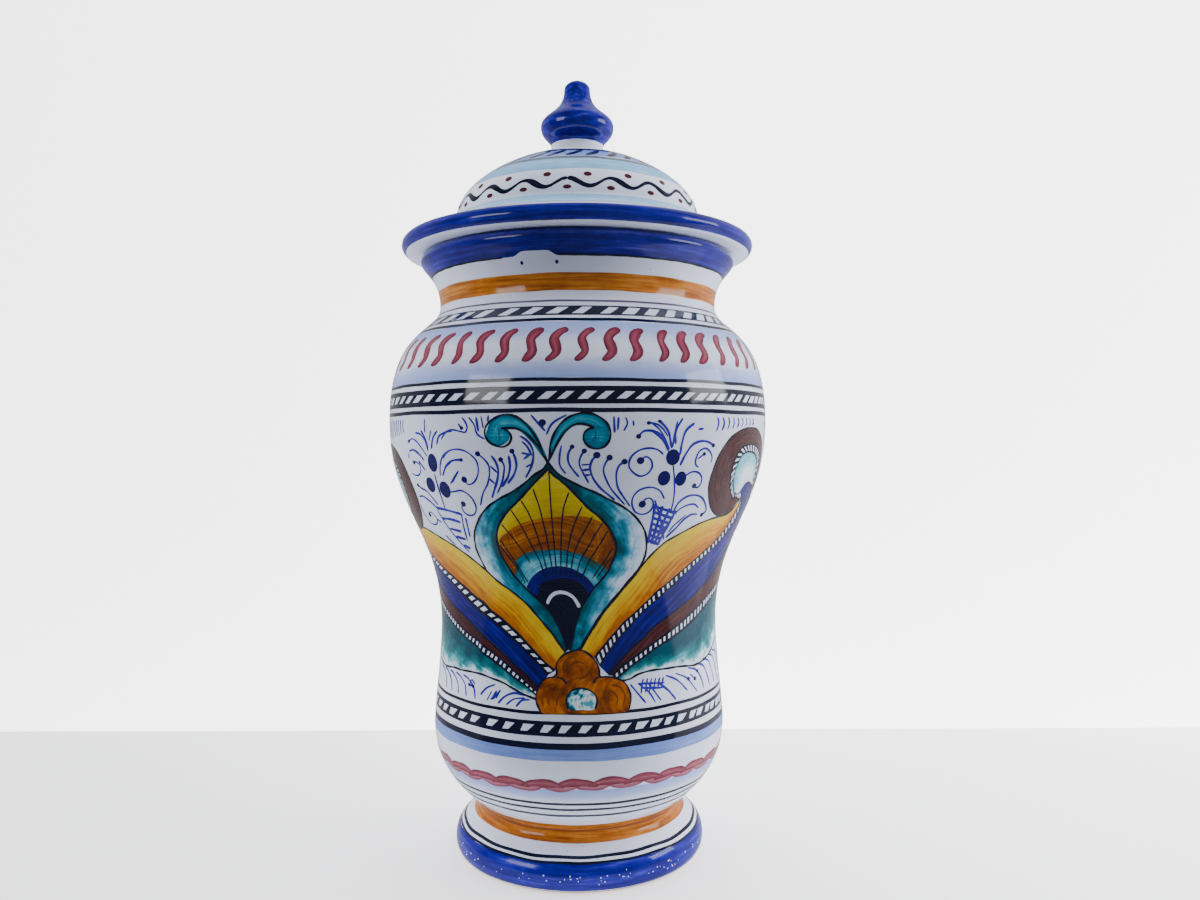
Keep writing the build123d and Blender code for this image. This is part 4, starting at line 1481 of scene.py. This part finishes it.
for line, drop_size in right_lines + left_lines + side_lines + low_lines:
    wide = PEN_WIDTH * chance.uniform(0.8, 1.25)
    pen_marks.append(mark(jar_skin, line, wide, tips=(1.4, 0.5 if drop_size else 1.8), shake=0.14))
    if drop_size:
        across = math.degrees(1.1 * drop_size / float(radius_at(jar_skin, line[-1][1])))
        pen_drops.append(drop(jar_skin, line[-1], across, drop_size))
lip_dots = [drop(jar_skin, (-18.7, 222.3), 1.1, 1.3), drop(jar_skin, (-6, 222.2), 1.1, 1.3)]
both_sides("pen_lines", pen_marks, pen_cobalt, 1)
film("pen_drops", "jar", jar_skin, front_and_back(pen_drops) + lip_dots, berry_blue, 2)

# Specks on the foot
# Small places along the widest part of the foot where the colour skipped and the white shows.
SPECKS = 130
WIDEST, STRAY = 5.8, 1.0    # mm up the foot, and how far the specks lie from there
specks_on_foot = []
for i in range(SPECKS):
    place = (chance.uniform(-180, 180), chance.gauss(WIDEST, STRAY))
    specks_on_foot.append(drop(jar_skin, place, chance.uniform(0.25, 0.7), chance.uniform(0.2, 0.5)))
film("foot_specks", "jar", jar_skin, specks_on_foot, tin_glaze, 2)

# The lid's painting
# Bands laid on the wheel as on the jar, and between the two pale blue ones a wavy line, thick where
# the brush turned down, with an oval dot of manganese over each trough and under each crest.
lid_skin = skin_of([lid_outside[0], lid_outside[1], lid_outside[2], lid_outside[3]])
knob_skin = skin_of(knob_outside)
WAVES = 19
WAVE_START = -3.0
sky_blue = painted(
    "sky_blue_wash",
    [(0.15, "#5c9ecc"), (0.6, "#84b6dc"), (0.95, "#aed0e8")],
    streak=1.1,
    fine=0.8,
    patchy=0.5,
)
grey_line = painted("dark_grey_line", [(0.2, "#3a4152"), (0.8, "#6d7688")], streak=1.6, patchy=0.4)
film("flange_edge", "lid", lid_skin, [band(lid_skin, 233.9, 239.9, 0.06, 0.4)], cobalt, 1)
film(
    "lid_sky_bands",
    "lid",
    lid_skin,
    [band(lid_skin, 257.6, 263.2, 0.15, 0.7), band(lid_skin, 243.7, 247.6, 0.08, 0.4)],
    sky_blue,
)
# Two dark grey lines, one along the top of the upper sky band and one just below the lower sky band.
grey_bands = [band(lid_skin, 262.9, 264.2, 0.1, 0.4), band(lid_skin, 242.6, 243.3, 0.03, 0.2)]
film("lid_grey_lines", "lid", lid_skin, grey_bands, grey_line, 1)
film("crown_wash", "lid", lid_skin, [band(lid_skin, 264.4, 268.8, 0.08, 0.6)], periwinkle)
# The upper crown line and the collar line just above it are dark paint and partly painted shade in the
# crease where the knob meets the crown.
crown_bands = [band(lid_skin, 268.7, 270.2, 0.05, 0.3), band(lid_skin, 272.8, 274.4, 0.02, 0.2)]
film("crown_lines", "lid", lid_skin, crown_bands, blue_black, 1)
film("collar_line_and_shade", "lid", knob_skin, [band(knob_skin, 274.7, 275.3, 0.03, 0.2)], blue_black, 1)
CROWN_STROKES = 30
crown_marks = []
for i in range(CROWN_STROKES):
    at = i * 360 / CROWN_STROKES + chance.uniform(-0.8, 0.8)
    crown_marks.append(mark(lid_skin, [(at - 5, 264.8), (at, 266.4), (at + 5, 268.6)], 2.3, tips=(1.2, 1.0)))
film("crown_strokes", "lid", lid_skin, crown_marks, blue_black, 1)
wave_places = []
for i in range(WAVES * 8):
    turn = i / 8
    angle = WAVE_START + turn * 360 / WAVES
    height = 252.1 + 1.6 * math.cos(2 * math.pi * turn) + 0.2 * math.sin(math.radians(3 * angle))
    going_down = math.sin(2 * math.pi * turn)
    wave_places.append((angle, height, 1.6 + 0.55 * going_down))
wave_places.append((WAVE_START + 360, wave_places[0][1], wave_places[0][2]))
film("lid_wave", "lid", lid_skin, [mark(lid_skin, wave_places, 1.3, columns=4, shake=0.12)], blue_black, 1)
lid_dots = []
for i in range(WAVES):
    at = WAVE_START + i * 360 / WAVES
    for angle, height in ((at + 180 / WAVES, 255.4), (at, 250.0)):
        wobble = chance.uniform(-0.9, 0.9)
        place = (angle + wobble, height + chance.uniform(-0.2, 0.2))
        lid_dots.append(drop(lid_skin, place, 3.6, 1.9 if height > 252 else 1.6))
dark_manganese = painted("manganese_dots", [(0.2, "#5c2030"), (0.8, "#30101c")], streak=0.8)
film("lid_dots", "lid", lid_skin, lid_dots, dark_manganese, 1)
film("knob_cobalt", "lid", knob_skin, [band(knob_skin, 278.9, 304.7, 0.04, 0.4)], cobalt, 1)

# The floor, the light and the camera
# A pale table with a bright white wall close behind it, lit from both sides and more from the
# right. Both also glow, a painted light that grows towards the right. The table ends just in front
# of the jar, so the glaze mirrors it only at the painted sides.
TABLE_BACK = 0.147      # metres from the jar's axis to the foot of the wall
TABLE_FRONT = -0.1
REACH = 2               # metres that table and wall go to each side
WALL_HEIGHT = 1.2
GLOW_REACH = 0.35       # metres to each side over which the glow grows


def sheet(name, corners, colour, roughness, left_glow, right_glow):
    """A flat sheet with a painted glow, a little stronger towards the right, where the window is."""
    mesh = bpy.data.meshes.new(name)
    mesh.from_pydata(corners, [], [(0, 1, 2, 3)])
    material = bpy.data.materials.new(name + "_paint")
    material.use_nodes = True
    tree = material.node_tree
    surface = tree.nodes["Principled BSDF"]
    surface.inputs["Base Color"].default_value = paint_colour(colour)
    surface.inputs["Roughness"].default_value = roughness
    surface.inputs["Emission Color"].default_value = paint_colour("#f4f5f6")
    to_the_right = add(tree, "SeparateXYZ", {"Vector": add(tree, "TexCoord").outputs["Object"]}).outputs["X"]
    glow = add(
        tree,
        "MapRange",
        {
            "Value": to_the_right,
            "From Min": -GLOW_REACH,
            "From Max": GLOW_REACH,
            "To Min": left_glow,
            "To Max": right_glow,
        },
    )
    tree.links.new(glow.outputs["Result"], surface.inputs["Emission Strength"])
    mesh.materials.append(material)
    piece = bpy.data.objects.new(name, mesh)
    bpy.context.scene.collection.objects.link(piece)
    return piece


def table_at(height):
    """Corners of the table, or of its sheet for the glaze."""
    corners = [(-REACH, TABLE_FRONT), (REACH, TABLE_FRONT), (REACH, TABLE_BACK), (-REACH, TABLE_BACK)]
    return [(*corner, height) for corner in corners]


def wall_at(depth):
    """Corners of the wall, or of its sheet for the glaze."""
    corners = [(-REACH, 0), (REACH, 0), (REACH, WALL_HEIGHT), (-REACH, WALL_HEIGHT)]
    return [(across, depth, up) for across, up in corners]


# Table and wall glow with a painted light that grows towards the right.
table = sheet("table", table_at(0), "#d9dadd", 0.6, 0.5, 1.7)
wall = sheet("wall", wall_at(TABLE_BACK), "#f6f5f3", 0.9, 3.3, 4.6)
# What the camera sees of them is brighter than the glaze should mirror. So they are hidden from
# reflections, and two dimmer glowing sheets in the same places, a painted reflection, are seen
# only in the glaze.
for seen in (table, wall):
    seen.visible_glossy = False
JUST_ABOVE, JUST_BEFORE = 0.0004, 0.001
mirrored_table = sheet("table_in_the_glaze", table_at(JUST_ABOVE), "#000000", 1.0, 0.35, 1.2)
mirrored_wall = sheet("wall_in_the_glaze", wall_at(TABLE_BACK - JUST_BEFORE), "#000000", 1.0, 0.35, 0.8)
for mirrored_sheet in (mirrored_table, mirrored_wall):
    mirrored_sheet.visible_camera = False
    mirrored_sheet.visible_diffuse = False
    mirrored_sheet.visible_shadow = False


JAR_MIDDLE = 0.16       # height in metres that the lamps face


def soft_box(name, azimuth, elevation, distance, width, height, radiance, mirrored_in_glaze):
    """A lamp with a flat face turned to the jar, at degrees right of the camera's side and up."""
    data = bpy.data.lights.new(name, "AREA")
    data.shape, data.size, data.size_y = "RECTANGLE", width, height
    data.energy = radiance * math.pi * width * height
    lamp = bpy.data.objects.new(name, data)
    lamp.visible_glossy = mirrored_in_glaze
    swing = Matrix.Rotation(math.radians(azimuth), 4, "Z")
    turn = swing @ Matrix.Rotation(math.radians(90 - elevation), 4, "X")
    lamp.matrix_world = Matrix.Translation((0, 0, JAR_MIDDLE)) @ turn @ Matrix.Translation((0, 0, distance))
    bpy.context.scene.collection.objects.link(lamp)


# Large soft lamps give the light, and smaller ones the glints in the glaze.
soft_box("soft_left", -74, 38, 1.2, 0.9, 0.8, 3.6, False)
soft_box("soft_right", 80, 36, 1.2, 1.0, 0.9, 4.6, False)
soft_box("soft_top", 0, 80, 1.2, 0.9, 0.9, 0.8, False)
soft_box("window_left", -52, 15, 1.1, 0.5, 0.3, 5, True)
soft_box("window_right", 82, 15, 1.1, 0.55, 0.3, 6, True)

world = bpy.data.worlds.new("room")
bpy.context.scene.world = world
world.use_nodes = True
room = world.node_tree
LEFT_ROOM, RIGHT_ROOM = 0.13, 0.28
to_the_right = add(room, "SeparateXYZ", {"Vector": add(room, "TexCoord").outputs["Generated"]}).outputs["X"]
level = add(
    room,
    "MapRange",
    {"Value": to_the_right, "From Min": -0.6, "From Max": 0.9, "To Min": LEFT_ROOM, "To Max": RIGHT_ROOM},
)
room.nodes["Background"].inputs["Color"].default_value = paint_colour("#f2f5ff")
room.links.new(level.outputs["Result"], room.nodes["Background"].inputs["Strength"])

CAMERA_PLACE = (0.0087, -0.3844, 0.1598)
FOCAL_PIXELS, IMAGE_WIDTH = 954.3, 1200
PITCH_DOWN, ROLL = 0.41, -0.2
camera = bpy.data.objects.new("camera", bpy.data.cameras.new("camera"))
camera.data.sensor_width = 36.0
camera.data.lens = FOCAL_PIXELS / IMAGE_WIDTH * camera.data.sensor_width
camera.data.clip_start = 0.01
camera.matrix_world = (
    Matrix.Translation(CAMERA_PLACE)
    @ Matrix.Rotation(math.radians(90 - PITCH_DOWN), 4, "X")
    @ Matrix.Rotation(math.radians(ROLL), 4, "Z")
)
bpy.context.scene.collection.objects.link(camera)
bpy.context.scene.camera = camera
